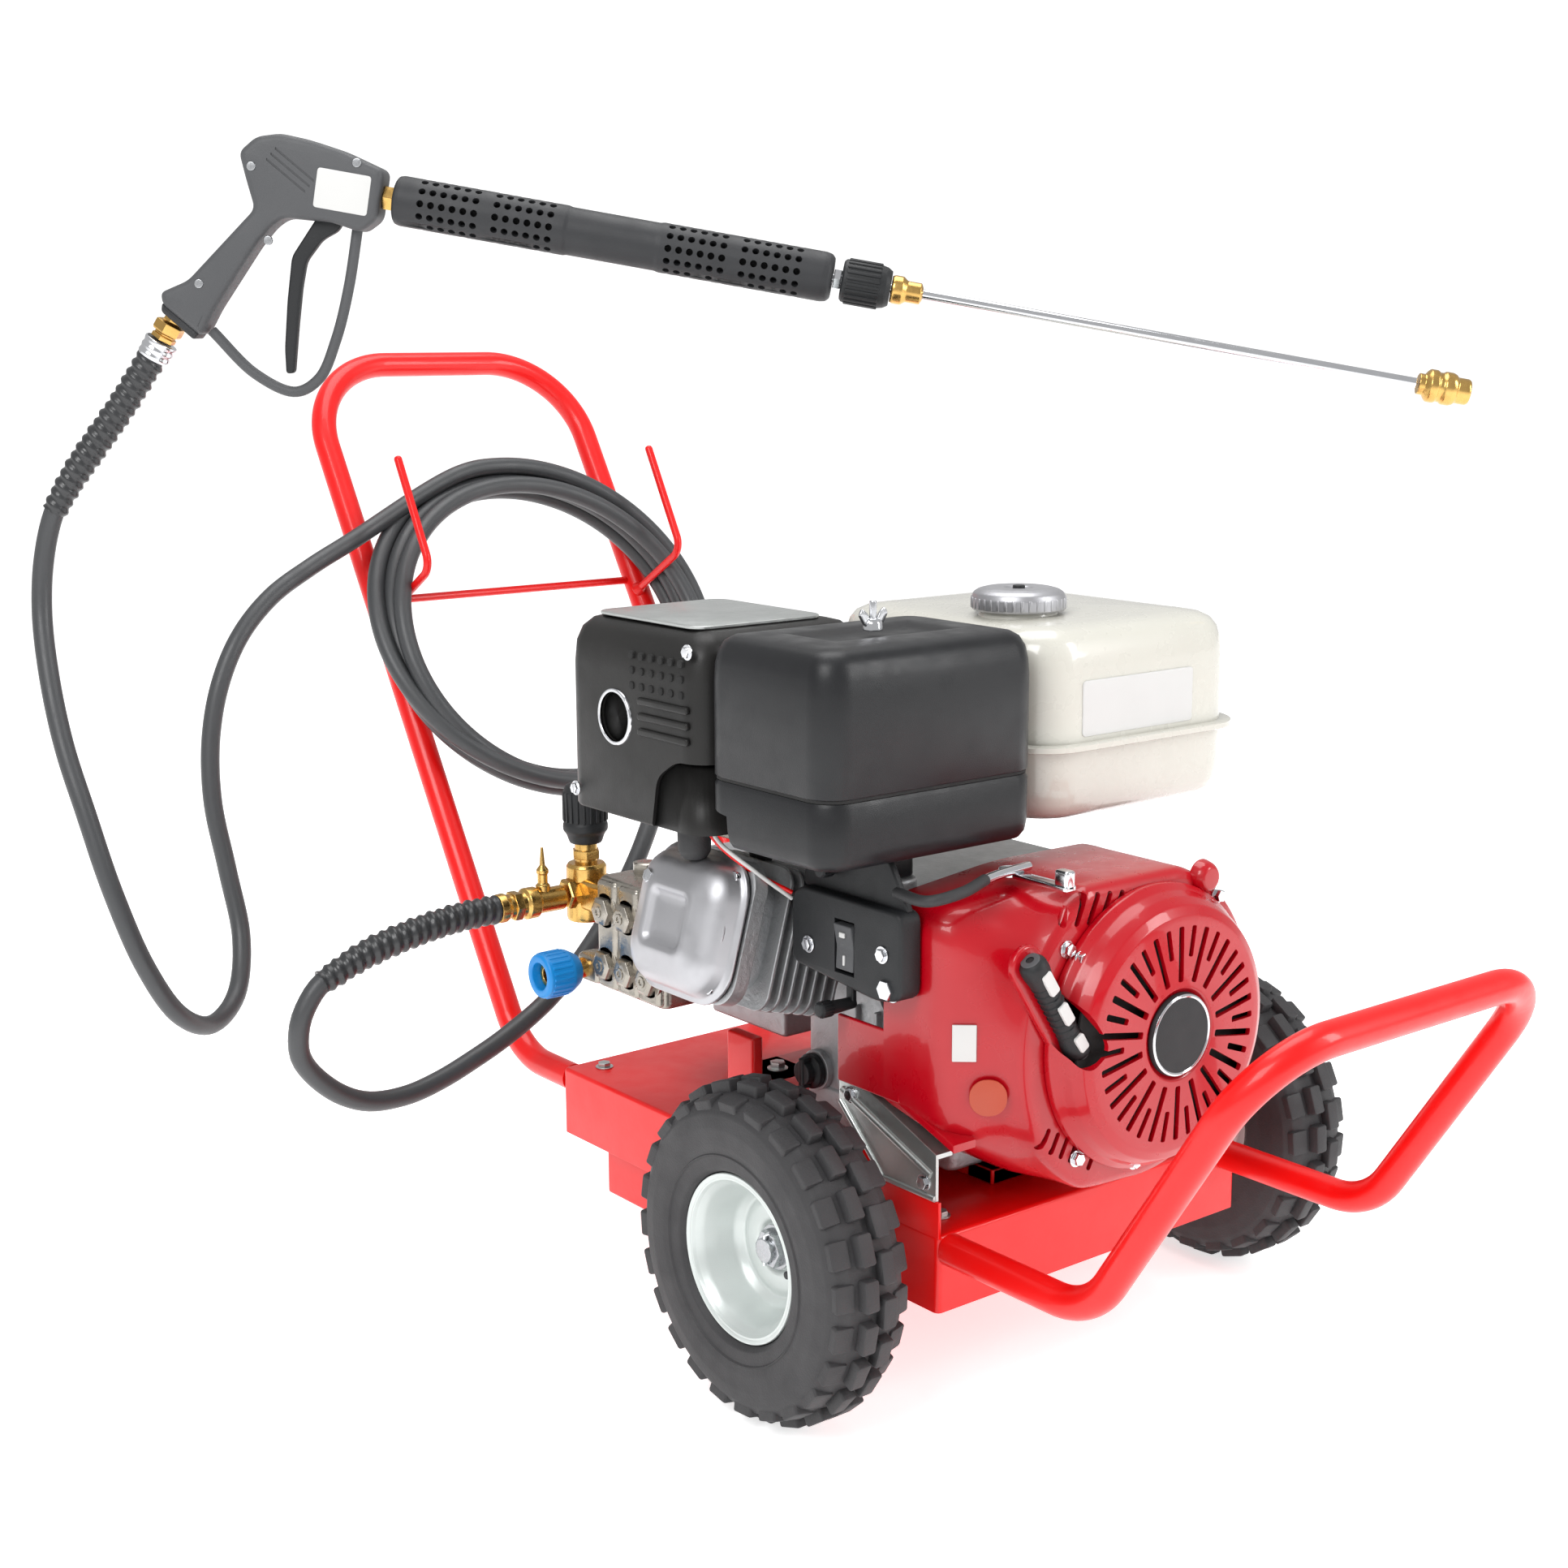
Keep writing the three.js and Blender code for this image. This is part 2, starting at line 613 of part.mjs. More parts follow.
// Fan shroud: a deep red pressing, open behind, with a round opening under the starter.
function buildShroud() {
  const outside = uprightPlate(shroudOutline(0), SHROUD_FRONT, SHROUD_DEPTH, 5);
  const inside = uprightPlate(shroudOutline(SHROUD_WALL), SHROUD_FRONT + SHROUD_WALL, SHROUD_DEPTH + 10);
  const mouth = rod("y", 0, SHROUD_FRONT - 1, 0, STARTER_R - 12, SHROUD_WALL + 2, STARTER_R - 12, 32);
  const slopedFoot = sidePlate(
    [[SHROUD_FRONT - 1, -140], [STAY_REAR, -140], [STAY_REAR, STAY_REAR_TOP + 6], [SHROUD_FRONT - 1, -84]],
    -SHROUD_SIDE - 1, -DECK_W / 2 + STAY_LIP + 4,
  );
  const wing = block(-SHROUD_SIDE, -SHROUD_SIDE + SHROUD_WALL, SHROUD_FRONT + 30, STAY_REAR - 4, -60, 4);
  // The front corner slopes back from the round face of the shroud to its flat side.
  const skinned = (inset) => {
    const corner = -SHROUD_SIDE + CORNER_SLOPE;
    const outline = new THREE.Shape([
      new THREE.Vector2(-SHROUD_SIDE - 1, SHROUD_FRONT - 1),
      new THREE.Vector2(corner + inset, SHROUD_FRONT - 1),
      new THREE.Vector2(-SHROUD_SIDE - 1, SHROUD_FRONT + CORNER_SLOPE + inset),
    ]);
    return new THREE.ExtrudeGeometry(outline, { depth: 300, bevelEnabled: false }).translate(0, 0, -150);
  };
  const pressed = cut(cut(outside, skinned(0)), cut(inside, skinned(SHROUD_WALL)), mouth);
  addPart("fan_shroud", cut(join(pressed, wing), slopedFoot), ENGINE_RED, engine);
}

// Recoil starter cover: a dished cap with radial cooling slots round a blank badge.
function buildStarter() {
  const back = SHROUD_FRONT - GAP;
  const front = SHROUD_FRONT - STARTER_DEPTH;
  const wall = 3;
  const shell = turned("y", [
    [STARTER_R, back],
    [STARTER_R, back - 6],
    [STARTER_R - 8, front + 12],
    [DISC_R, front + 1],
    [BADGE_R, front],
    [BADGE_R - 2, front + 3],
    [8, front + 3],
    [8, front + 3 + wall],
    [DISC_R - 2, front + wall + 1],
    [STARTER_R - 8 - wall, front + 14],
    [STARTER_R - wall, back - 6],
    [STARTER_R - wall, back],
  ], SLOT_COUNT);
  const slots = [];
  for (let i = 0; i < SLOT_COUNT; i += 1) {
    const long = i % 2 === 0;
    const inner = long ? BADGE_R + 5 : BADGE_R + 14;
    const slot = block(inner, DISC_R - 4, front - 2, front + wall + 3, -SLOT_WIDTH / 2, SLOT_WIDTH / 2);
    slots.push(slot.rotateY(((i + 0.5) * 2 * Math.PI) / SLOT_COUNT));
  }
  const grip = new THREE.Group();
  grip.position.set(...GRIP_AT);
  grip.rotation.y = GRIP_TILT;
  engine.add(grip);
  grip.updateMatrix();
  const room = GRIP_R + 2;
  const recess = block(-room, room, -60, room, -GRIP_LENGTH / 2 - 3, GRIP_LENGTH / 2 + 3);
  addPart("starter_cover", cut(shell, ...slots, recess.applyMatrix4(grip.matrix)), ENGINE_RED, engine);

  const badge = turned("y", [
    [0, front - 2],
    [BADGE_R - 5, front - 2],
    [BADGE_R - 3, front],
    [BADGE_R - 3, front + 2.5],
    [0, front + 2.5],
  ], 24);
  addPart("starter_badge", badge, BLACK, engine);

  const half = GRIP_LENGTH / 2;
  const profile = [
    [0, -half],
    [GRIP_R - 4, -half],
    [GRIP_R, -half + 8],
    [GRIP_R - 2, 0],
    [GRIP_R, half - 8],
    [GRIP_R - 4, half],
    [0, half],
  ];
  addPart("starter_grip", turned("z", profile, 20), BLACK, grip);
}

function buildCrankshaft() {
  const shaftR = 12;
  const fanAt = SHROUD_FRONT + 22;
  const profile = [
    [0, fanAt - 14],
    [30, fanAt - 14],
    [34, fanAt],
    [96, fanAt],
    [96, fanAt + 30],
    [40, fanAt + 34],
    [shaftR, fanAt + 40],
    [shaftR, CASE_REAR + 22],
    [0, CASE_REAR + 22],
  ];
  const blades = [];
  for (let i = 0; i < BLADE_COUNT; i += 1) {
    const blade = block(48, 92, fanAt - 14, fanAt + 2, -2.5, 2.5);
    blades.push(blade.rotateY((i * 2 * Math.PI) / BLADE_COUNT));
  }
  addPart("crankshaft_flywheel", join(turned("y", profile, 24), ...blades), STEEL, engine);
}

function buildTank() {
  const { x0, x1, y0, y1, bottom, seam, top } = TANK;
  const body = softBlock({ x0, x1, y0, y1, z0: bottom, z1: top }, 34, 20, 3);
  const flange = softBlock(
    { x0: x0 - TANK_FLANGE, x1: x1 + TANK_FLANGE, y0: y0 - TANK_FLANGE, y1: y1 + TANK_FLANGE, z0: seam - 3, z1: seam + 3 },
    38, 2, 1,
  );
  const neck = rod("z", CAP_X, CAP_Y, top - 4, CAP_R - 8, 8);
  const room = softBlock({
    x0: x0 + TANK_WALL, x1: x1 - TANK_WALL,
    y0: y0 + TANK_WALL, y1: y1 - TANK_WALL,
    z0: bottom + TANK_WALL, z1: top - TANK_WALL,
  }, 34, 20);
  const filler = rod("z", CAP_X, CAP_Y, top - 20, CAP_R - 12, 30);
  addPart("fuel_tank", cut(join(body, flange, neck), room, filler), OFF_WHITE, engine);
  const cap = turned("z", [
    [0, 0],
    [CAP_R, 0],
    [CAP_R, CAP_H - 7],
    [CAP_R - 3, CAP_H - 2],
    [CAP_R - 10, CAP_H],
    [0, CAP_H],
  ], 28).translate(CAP_X, CAP_Y, top + 4 + GAP);
  addPart("fuel_cap", cap, ZINC, engine);
}

function buildAirCleaner() {
  const { x0, x1, y0, y1, bottom, seam, top } = CLEANER;
  const tray = softBlock({ x0, x1, y0, y1, z0: bottom, z1: seam - GAP / 2 }, 20, 8);
  const intake = block(CARB.x0 + 4, CARB.x1 - 4, CARB.y0 + 3, CARB.y1 - 3, CARB.z1 + GAP, bottom + 4);
  const trayRoom = block(x0 + 20, x1 - 20, y0 + 20, y1 - 20, bottom + CLEANER_WALL, seam + 1);
  addPart("air_cleaner_base", join(cut(tray, trayRoom), intake), BLACK, engine);
  const cover = softBlock({ x0, x1, y0, y1, z0: seam + GAP / 2, z1: top }, 20, 12, 3);
  const coverRoom = block(x0 + 12, x1 - 12, y0 + 12, y1 - 12, seam - 1, top - 12);
  addPart("air_cleaner_cover", cut(cover, coverRoom), BLACK, engine);
  const middleX = (x0 + x1) / 2;
  const middleY = (y0 + y1) / 2;
  const hub = rod("z", middleX, middleY, top + GAP, 8, 9, 6);
  const wings = block(middleX - 14, middleX + 14, middleY - 2, middleY + 2, top + 4, top + 18);
  addPart("wing_nut", join(hub, wings), STEEL, engine);
}

function buildMuffler() {
  const { x0, x1, y0, y1, bottom, top } = MUFFLER;
  const outside = softBlock({ x0, x1, y0, y1, z0: bottom, z1: top }, 14, 6);
  const room = {
    x0: x0 + GUARD_WALL, x1: x1 - GUARD_WALL,
    y0: y0 + GUARD_WALL, y1: y1 - GUARD_WALL,
    z0: bottom - 20, z1: top - GUARD_WALL,
  };
  const inside = softBlock(room, 14 - GUARD_WALL, 4);
  const exhaustY = 181;
  const exhaustZ = 224;
  const hole = rod("x", x0 - 5, exhaustY, exhaustZ, EXHAUST_R, 20);
  const arch = sidePlate(
    [[y0 - 1, bottom - 1], [y0 + 68, bottom - 1], [y0 + 56, bottom + 42], [y0 + 30, bottom + 58], [y0 - 1, bottom + 58]],
    x0 - 5, x1 - 30,
  );
  addPart("muffler_guard", cut(outside, inside, hole, arch), BLACK, engine);

  const can = softBlock(
    { x0: x0 + 22, x1: x1 - 10, y0: y0 + 66, y1: y1 - 10, z0: bottom + 12, z1: top - 12 }, 24, 12,
  );
  const pipe = rod("x", x0 + 4, exhaustY, exhaustZ, 13, 30);
  const bore = rod("x", x0 - 5, exhaustY, exhaustZ, 10, 45);
  const port = block(-160, -130, CYLINDER_Y + 40, CYLINDER_Y + 70, 112, bottom + 20);
  const canRoom = block(x0 + 34, x1 - 22, y0 + 78, y1 - 22, bottom + 24, top - 24);
  addPart("muffler", cut(join(can, pipe, port), bore, canRoom), STEEL, engine);
}

function buildFuelSystem() {
  const { x0, x1, y0, y1, z0, z1 } = CARB;
  const middleX = (x0 + x1) / 2;
  const middleY = (y0 + y1) / 2;
  const body = softBlock(CARB, 12, 4);
  const bowl = rod("z", middleX, middleY, z0 - 22, 20, 24, 24, 20);
  const flange = block(x0 + 6, x1 - 9, y1 - 4, y1 + 12, z0 + 16, z1 - 11);
  addPart("carburettor", join(body, bowl, flange), ALUMINIUM, engine);

  // Both levers turn on the side of the carburettor; their knobs reach past the control box.
  const lever = (name, z, reach) => {
    const inner = x0 - GAP;
    const outer = inner - LEVER_THICK;
    const hub = rod("x", outer, LEVER_Y, z, 7, LEVER_THICK, 7, 16);
    const arm = block(outer, inner, LEVER_Y - 4, LEVER_Y + 4, Math.min(z, z + reach), Math.max(z, z + reach));
    const knob = rod("x", CONTROL_BOX.x0 - 6, LEVER_Y, z + reach, 6, inner - CONTROL_BOX.x0 + 6, 6, 14);
    addPart(name, join(hub, arm, knob), BLACK, engine);
  };
  lever("choke_lever", z1 - 11, 24);
  lever("fuel_valve_lever", z0 + 8, -44);

  const throttleHub = rod("z", -96, -96, 122, 9, 5);
  const throttleArm = block(-99, -93, -150, -96, 122, 126);
  const throttleTip = block(-101, -91, -160, -146, 122, 136);
  addPart("throttle_lever", join(throttleHub, throttleArm, throttleTip), STEEL, engine);
}

function buildControls() {
  const { x0, x1, y0, y1, z0, z1 } = CONTROL_BOX;
  const box = softBlock(CONTROL_BOX, 8, 4);
  const pocket = block(x0 - 1, x0 + 8, SWITCH_Y - 11, SWITCH_Y + 11, SWITCH_Z - 19, SWITCH_Z + 19);
  addPart("control_box", cut(box, pocket), BLACK, engine);
  const rocker = rod("y", x0 + 4, SWITCH_Y - 9.5, SWITCH_Z, 17, 19, 17, 20);
  const face = block(x0 - 3.5, x0 + 5, SWITCH_Y - 12, SWITCH_Y + 12, SWITCH_Z - 16, SWITCH_Z + 16);
  addPart("engine_switch", cross(rocker, face), GREY_PLASTIC, engine);

  const group = cylinderGroup();
  const boot = join(
    rod("z", -186, 0, CYLINDER_R + GAP, 9, 26, 11, 16),
    rod("y", -186, -4, CYLINDER_R + 20, 8, 34, 6, 12),
  );
  addPart("spark_plug_boot", boot, RUBBER, group);
}

// ---------------------------------------------------------------- pump
function buildPump() {
  const adapter = turned("y", [
    [16, CASE_REAR + GAP],
    [76, CASE_REAR + GAP],
    [76, CASE_REAR + 10],
    [54, CASE_REAR + 16],
    [54, PUMP_Y0 - GAP],
    [16, PUMP_Y0 - GAP],
  ], 28);
  addPart("pump_flange", adapter, ALUMINIUM, engine);

  const body = softBlock({ x0: -94, x1: 62, y0: PUMP_Y0, y1: PUMP_Y1, z0: -62, z1: 60 }, 18, 8);
  const foot = block(-60, 40, PUMP_Y0 + 20, PUMP_Y1 - 20, -90, -55);
  const endCap = rod("y", 0, PUMP_Y1 - 2, 0, 32, 8);
  const ribs = [-30, 0, 30].map((z) => block(-80, 50, PUMP_Y0 + 12, PUMP_Y1 + 3, z - 2, z + 2));
  addPart("pump_crankcase", join(body, foot, endCap, ...ribs), ALUMINIUM, engine);

  const { x0, x1, y0, y1, z0, z1 } = MANIFOLD;
  const head = softBlock({ x0, x1, y0, y1, z0, z1 }, 6, 3, 1);
  const caps = [];
  for (let i = 0; i < 3; i += 1) {
    const y = y0 + 18 + (i * (y1 - y0 - 36)) / 2;
    caps.push(rod("x", x0 - 8, y, z1 - 28, 13, 12, 13, 6));
    caps.push(rod("x", x0 - 8, y, z0 + 24, 13, 12, 13, 6));
    caps.push(rod("z", x0 + 40, y, z1 - 2, 12, 8, 12, 6));
  }
  const inletBoss = rod("x", x0 - 12, COUPLER.y, COUPLER.z, 9, 24);
  const inletArm = block(x0 - 4, x0 + 18, y1 - 4, COUPLER.y + 12, COUPLER.z - 12, COUPLER.z + 12);
  addPart("pump_manifold", join(head, ...caps, inletArm, inletBoss), STEEL, engine);
}

function buildUnloader() {
  const { x, y, z, r } = UNLOADER;
  const body = join(
    rod("z", x, y, z - 26, r, 52),
    block(x - 14, x + 22, MANIFOLD.y1 + GAP, y, z - 14, z + 14),
    rod("x", x - r - 6, y, z, 14, 12, 14, 6),
    rod("z", x, y, z + 24, 10, 20),
  );
  addPart("unloader_valve", body, BRASS, engine);
  const knob = turned("z", [
    [0, 0],
    [15, 0],
    [19.5, 8],
    [19.5, 46],
    [16, 54],
    [0, 54],
  ], 12).translate(x, y, z + 44 + GAP);
  addPart("unloader_knob", knob, BLACK, engine);

  const from = x - r - 6 - GAP;
  const outlet = join(
    rod("x", from - OUTLET_REACH, y, z - 2, 11, OUTLET_REACH, 13),
    rod("z", from - 22, y, z + 4, 7, 22, 6, 12),
    rod("z", from - 22, y, z + 24, 4, 22, 1.5, 12),
  );
  addPart("outlet_fitting", outlet, BRASS, engine);

  const coupler = turned("x", [
    [0, 0],
    [COUPLER.r - 6, 0],
    [COUPLER.r - 2, -8],
    [COUPLER.r, -12],
    [COUPLER.r, -COUPLER.length],
    [12, -COUPLER.length],
    [11, -14],
    [0, -14],
  ], 24).translate(COUPLER.x + 6 - GAP, COUPLER.y, COUPLER.z);
  addPart("inlet_coupler", coupler, BLUE, engine);
}

// ---------------------------------------------------------------- gun and lance
const gun = new THREE.Group();
gun.position.copy(GUN_AT).setZ(GUN_AT.z + DECK_LIFT);
gun.rotation.set(0, GUN_DIP, GUN_HEADING, "ZYX");
machine.add(gun);

// Flat outline in the gun's own x-z plane, made solid over a thickness round y = 0.
function gunPlate(points, thickness, bevel) {
  const shape = new THREE.Shape(points.map(([x, z]) => new THREE.Vector2(x, z)));
  return uprightPlate(shape, -thickness / 2, thickness, bevel);
}

function buildGun() {
  const shell = gunPlate([
    [-7, -19],
    [-20, -32],
    [-46, -28],
    [-86, -31],
    [-96, -40],
    [-107, -58],
    [-135, -117],
    [-144, -142],
    [-180, -121],
    [-183, -111],
    [-161, -97],
    [-112, -28],
    [-122, -6],
    [-131, 16],
    [-118, 31],
    [-98, 37],
    [-73, 36],
    [-45, 32],
    [-7, 22],
  ], GUN_THICK, 5);
  const guardPoints = [
    [-139, -136],
    [-97, -166],
    [-61, -175],
    [-42, -160],
    [-32, -125],
    [-27, -80],
    [-26, -26],
  ];
  const guard = smoothTube(guardPoints.map(([x, z]) => [x, 0, z]), 4.5, 6, 14);
  const slot = gunPlate([[-34, -50], [-34, -16], [-64, -16], [-64, -50]], 12, 0);
  addPart("gun_body", cut(join(shell, guard), slot), GREY_PLASTIC, gun);

  const trigger = gunPlate([
    [-38, -24],
    [-60, -24],
    [-78, -62],
    [-77, -100],
    [-74, -140],
    [-70, -161],
    [-63, -159],
    [-65, -120],
    [-66, -86],
    [-65, -64],
    [-54, -44],
    [-41, -34],
  ], 10, 1);
  addPart("gun_trigger", trigger, BLACK, gun);

  const sleeveProfile = [
    [LANCE_R + 1, 3],
    [SLEEVE_R - 3, 3],
    [SLEEVE_R, 8],
    [SLEEVE_R, SLEEVE_L - 4],
    [SLEEVE_R - 3, SLEEVE_L],
    [LANCE_R + 1, SLEEVE_L],
  ];
  addPart("lance_sleeve", turned("x", sleeveProfile, 24), BLACK, gun);

  const joint = rod("x", -6.5, 0, 0, 11, 9, 11, 20);
  const tubeFrom = 0;
  const pipe = rod("x", tubeFrom, 0, 0, LANCE_R, SLEEVE_L + 52 - tubeFrom + LANCE_L);
  const shoulder = rod("x", SLEEVE_L + 51, 0, 0, 12, 20, 9, 16);
  addPart("lance_tube", join(joint, pipe, shoulder), STEEL, gun);

  const nut = turned("x", [
    [LANCE_R + 1, SLEEVE_L + 8],
    [LANCE_NUT_R - 2, SLEEVE_L + 8],
    [LANCE_NUT_R, SLEEVE_L + 12],
    [LANCE_NUT_R, SLEEVE_L + 42],
    [LANCE_NUT_R - 4, SLEEVE_L + 50],
    [LANCE_R + 1, SLEEVE_L + 50],
  ], 16);
  addPart("lance_nut", nut, BLACK, gun);

  const tip = SLEEVE_L + 52 + LANCE_L + GAP;
  const coupler = turned("x", [
    [0, tip],
    [9, tip],
    [9, tip + 6],
    [14, tip + 8],
    [14, tip + 28],
    [11, tip + 32],
    [11, tip + 44],
    [6, tip + 44],
    [5, tip + 20],
    [0, tip + 20],
  ], 20);
  addPart("lance_coupler", coupler, BRASS, gun);

  const heel = new THREE.Group();
  heel.position.set(-171.4, 0, -128.5);
  heel.rotation.y = 112 * DEG;
  gun.add(heel);
  const swivel = turned("x", [
    [0, 3],
    [8, 3],
    [8, 8],
    [13, 9],
    [13, 17],
    [11, 19],
    [11, SWIVEL_LENGTH],
    [0, SWIVEL_LENGTH],
  ], 20);
  addPart("gun_swivel", swivel, BRASS, heel);
  const bend = [[SWIVEL_LENGTH + 2 * GAP, 0, 0], [93, 0, -3], [134, 0, -7], [171, 0, -10], [205, 0, -10]];
  addPart("gun_hose_sleeve", smoothTube(bend, RELIEF_R, 8, 6), HOSE_BLACK, heel);
}

// ---------------------------------------------------------------- hose
function buildCoil() {
  const half = COIL_DEPTH / 2;
  const soft = 8;
  const ring = turned("y", [
    [COIL_INNER, -half + soft],
    [COIL_INNER + soft, -half],
    [COIL_OUTER - soft, -half],
    [COIL_OUTER, -half + soft],
    [COIL_OUTER, half - soft],
    [COIL_OUTER - soft, half],
    [COIL_INNER + soft, half],
    [COIL_INNER, half - soft],
  ], 36);
  ring.scale(COIL_WIDENING, 1, 1).rotateX(-HANDLE_LEAN);
  const centre = onHandle(0, COIL_ALONG, COIL_OUT);
  addPart("hose_coil", ring.translate(centre.x, centre.y, centre.z), HOSE_BLACK);
}

// The two free runs of the hose, each a list of chosen points from the middle of the axle.
const OUTLET_RUN = [
  [-431, 380.4, 285],
  [-445, 382, 262],
  [-443, 386, 226],
  [-415, 390, 192],
  [-380, 395, 172],
  [-340, 400, 167],
  [-303, 406, 171],
  [-264, 412, 181],
  [-224, 420, 193],
  [-168, 432, 217],
  [-110, 443, 262],
  [-58, 455, 321],
  [-12, 480, 372],
  [42, 520, 410],
  [100, 566, 432],
];
const PUMP_RELIEF = [
  [-260, 375, 325.5],
  [-300, 375, 324],
  [-345, 376, 317],
  [-386, 378, 306],
  [-424, 380, 289],
];
const GUN_RUN = [
  [-98, 785, 673],
  [-148, 769, 642],
  [-190, 752, 612],
  [-236, 744, 592],
  [-285, 733, 567],
  [-324, 722, 533],
  [-348, 717, 491],
  [-362, 713, 441],
  [-368, 703, 383],
  [-364, 687, 318],
  [-364, 664, 256],
  [-385, 635, 212],
  [-424, 605, 198],
  [-464, 582, 221],
  [-493, 579, 270],
  [-514, 591, 340],
  [-524, 614, 406],
  [-529, 642, 463],
  [-528, 669, 520],
  [-523, 690, 575],
  [-517, 693, 622],
  [-509, 688, 660],
];

// The points moved up with the deck, and with the crankshaft by a share that fades along the route.
function lifted(points, firstShare, lastShare) {
  return points.map(([x, y, z], i) => {
    const share = firstShare + ((lastShare - firstShare) * i) / (points.length - 1);
    return [x, y, z + DECK_LIFT + CRANK_LIFT * share];
  });
}

function buildHose() {
  buildCoil();
  addPart("pump_hose_sleeve", smoothTube(lifted(PUMP_RELIEF, 1, 1), RELIEF_R, 8, 6), HOSE_BLACK);
  addPart("hose_pump_run", smoothTube(lifted(OUTLET_RUN, 1, 0), HOSE_R, 8, 26), HOSE_BLACK);
  addPart("hose_gun_run", smoothTube(lifted(GUN_RUN, 0, 0), HOSE_R, 8, 34), HOSE_BLACK);
}

buildDeck();
buildStandBox();
buildHandle();
buildFrontLoop();
buildAxle();
buildWheels();
buildEngineBase();
buildEngineStay();
buildCrankcase();
buildCylinder();
buildShroud();
buildStarter();
buildCrankshaft();
buildTank();
buildAirCleaner();
buildMuffler();
buildFuelSystem();
buildControls();
buildPump();
buildUnloader();
buildGun();
buildHose();

function listMeshes(object) {
  return object.isMesh ? [object] : object.children.flatMap(listMeshes);
}

// The origin goes under the middle of the machine without its hose.
machine.updateMatrixWorld(true);
const extent = new THREE.Box3();
for (const mesh of machine.children.flatMap(listMeshes)) {
  if (!mesh.name.includes("hose_") || mesh.name.startsWith("hose_hook")) extent.expandByObject(mesh);
}
const middle = extent.getCenter(new THREE.Vector3());
machine.position.set(-middle.x, -middle.y, -extent.min.z);

export default machine;
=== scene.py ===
# %% [markdown]
# # Petrol pressure washer on a trolley
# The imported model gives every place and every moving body. This script dresses it: the hose and
# camera first, then one cell for each group of pieces. Lengths are in millimetres, measured from the
# middle of the axle on the ground; `to_row` turns them into metres in the shared frame.

import math

import bmesh
import bpy
from mathutils import Matrix, Vector
from mathutils.geometry import tessellate_polygon


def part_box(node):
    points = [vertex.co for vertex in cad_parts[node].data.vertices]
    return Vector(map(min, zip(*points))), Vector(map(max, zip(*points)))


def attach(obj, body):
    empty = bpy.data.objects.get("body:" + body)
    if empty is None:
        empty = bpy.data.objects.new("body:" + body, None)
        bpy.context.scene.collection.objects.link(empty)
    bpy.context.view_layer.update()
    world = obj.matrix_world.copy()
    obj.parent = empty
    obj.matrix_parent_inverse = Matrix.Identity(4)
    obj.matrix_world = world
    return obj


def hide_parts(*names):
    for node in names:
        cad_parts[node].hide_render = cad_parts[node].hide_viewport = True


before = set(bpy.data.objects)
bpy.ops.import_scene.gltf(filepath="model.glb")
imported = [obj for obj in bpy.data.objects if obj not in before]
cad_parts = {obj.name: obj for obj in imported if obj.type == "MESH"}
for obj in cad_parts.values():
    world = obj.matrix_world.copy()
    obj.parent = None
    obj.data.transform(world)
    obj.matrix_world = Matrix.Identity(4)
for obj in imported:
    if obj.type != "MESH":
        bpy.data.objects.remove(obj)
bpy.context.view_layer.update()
MAIN = "machine"

# %% [markdown]
# ## Places
# The axle and the crankshaft are the two references that every other place is measured from.

# %% Reference frames
axle_low, axle_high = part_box("axle")
crank_low, crank_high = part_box("crankshaft_flywheel")
AXLE_X = (axle_low[0] + axle_high[0]) / 2
AXLE_Y = (axle_low[1] + axle_high[1]) / 2
WHEEL_R = 133
CRANK_Z = (crank_low[2] + crank_high[2]) * 500
TRACK = 504
DECK_TOP = 152.5
TUBE_R = 12.5
TUBE_Z = DECK_TOP - TUBE_R
HALF_FRAME = 157
HANDLE_LEAN = math.radians(31.6)
HANDLE_FOOT = 507
HANDLE_LENGTH = 754
HANDLE_BENDS = [75, 95, 95, 75]
HANDLE_END_Y = 415.3
LOOP_END_Y = -100.3
LOOP_BENDS = [62, 66, 66, 62]
LOOP_FOOT_Y = -247
LOOP_TIP_Y = -393
LOOP_RISE = 225
ROD_ALONG = 482
HOOK_ALONG = 466
HOOK_X = 150



def offset(x, y, z):
    return Matrix.Translation((x, y, z))


def spin(degrees, axis):
    return Matrix.Rotation(math.radians(degrees), 4, axis)


WORLD = Matrix.Identity(4)
ENGINE = offset(0, 0, CRANK_Z)
CYLINDER = ENGINE @ offset(0, 122, 0) @ spin(15.5, "Y")
GUN = (
    offset(-276, 483, 929)
    @ spin(-41.4, "Z")
    @ spin(10, "Y")
)
HEEL = GUN @ offset(-171.4, 0, -128.5) @ spin(112, "Y")
LEAN_UP = Vector((0, math.sin(HANDLE_LEAN), math.cos(HANDLE_LEAN)))
LEAN_OUT = Vector((0, -math.cos(HANDLE_LEAN), math.sin(HANDLE_LEAN)))


def to_row(point):
    return Vector((point[0] / 1000 + AXLE_X, point[1] / 1000 + AXLE_Y, point[2] / 1000))


def on_handle(x, along, out):
    return Vector((x, HANDLE_FOOT, TUBE_Z)) + LEAN_UP * along + LEAN_OUT * out


print("axle at", round(AXLE_X, 4), round(AXLE_Y, 4), "crank height", round(CRANK_Z, 1))

# %% [markdown]
# ## Shapes
# A shape is a pair of lists, points and faces. Small functions make them, `merge` joins them and
# `piece` turns them into an object that rides on a body.

# %% Shape functions
def merge(*shapes):
    points, faces = [], []
    for shape_points, shape_faces in shapes:
        start = len(points)
        points.extend(shape_points)
        faces.extend([[i + start for i in face] for face in shape_faces])
    return points, faces


def moved(shape, matrix):
    return [matrix @ Vector(p) for p in shape[0]], shape[1]


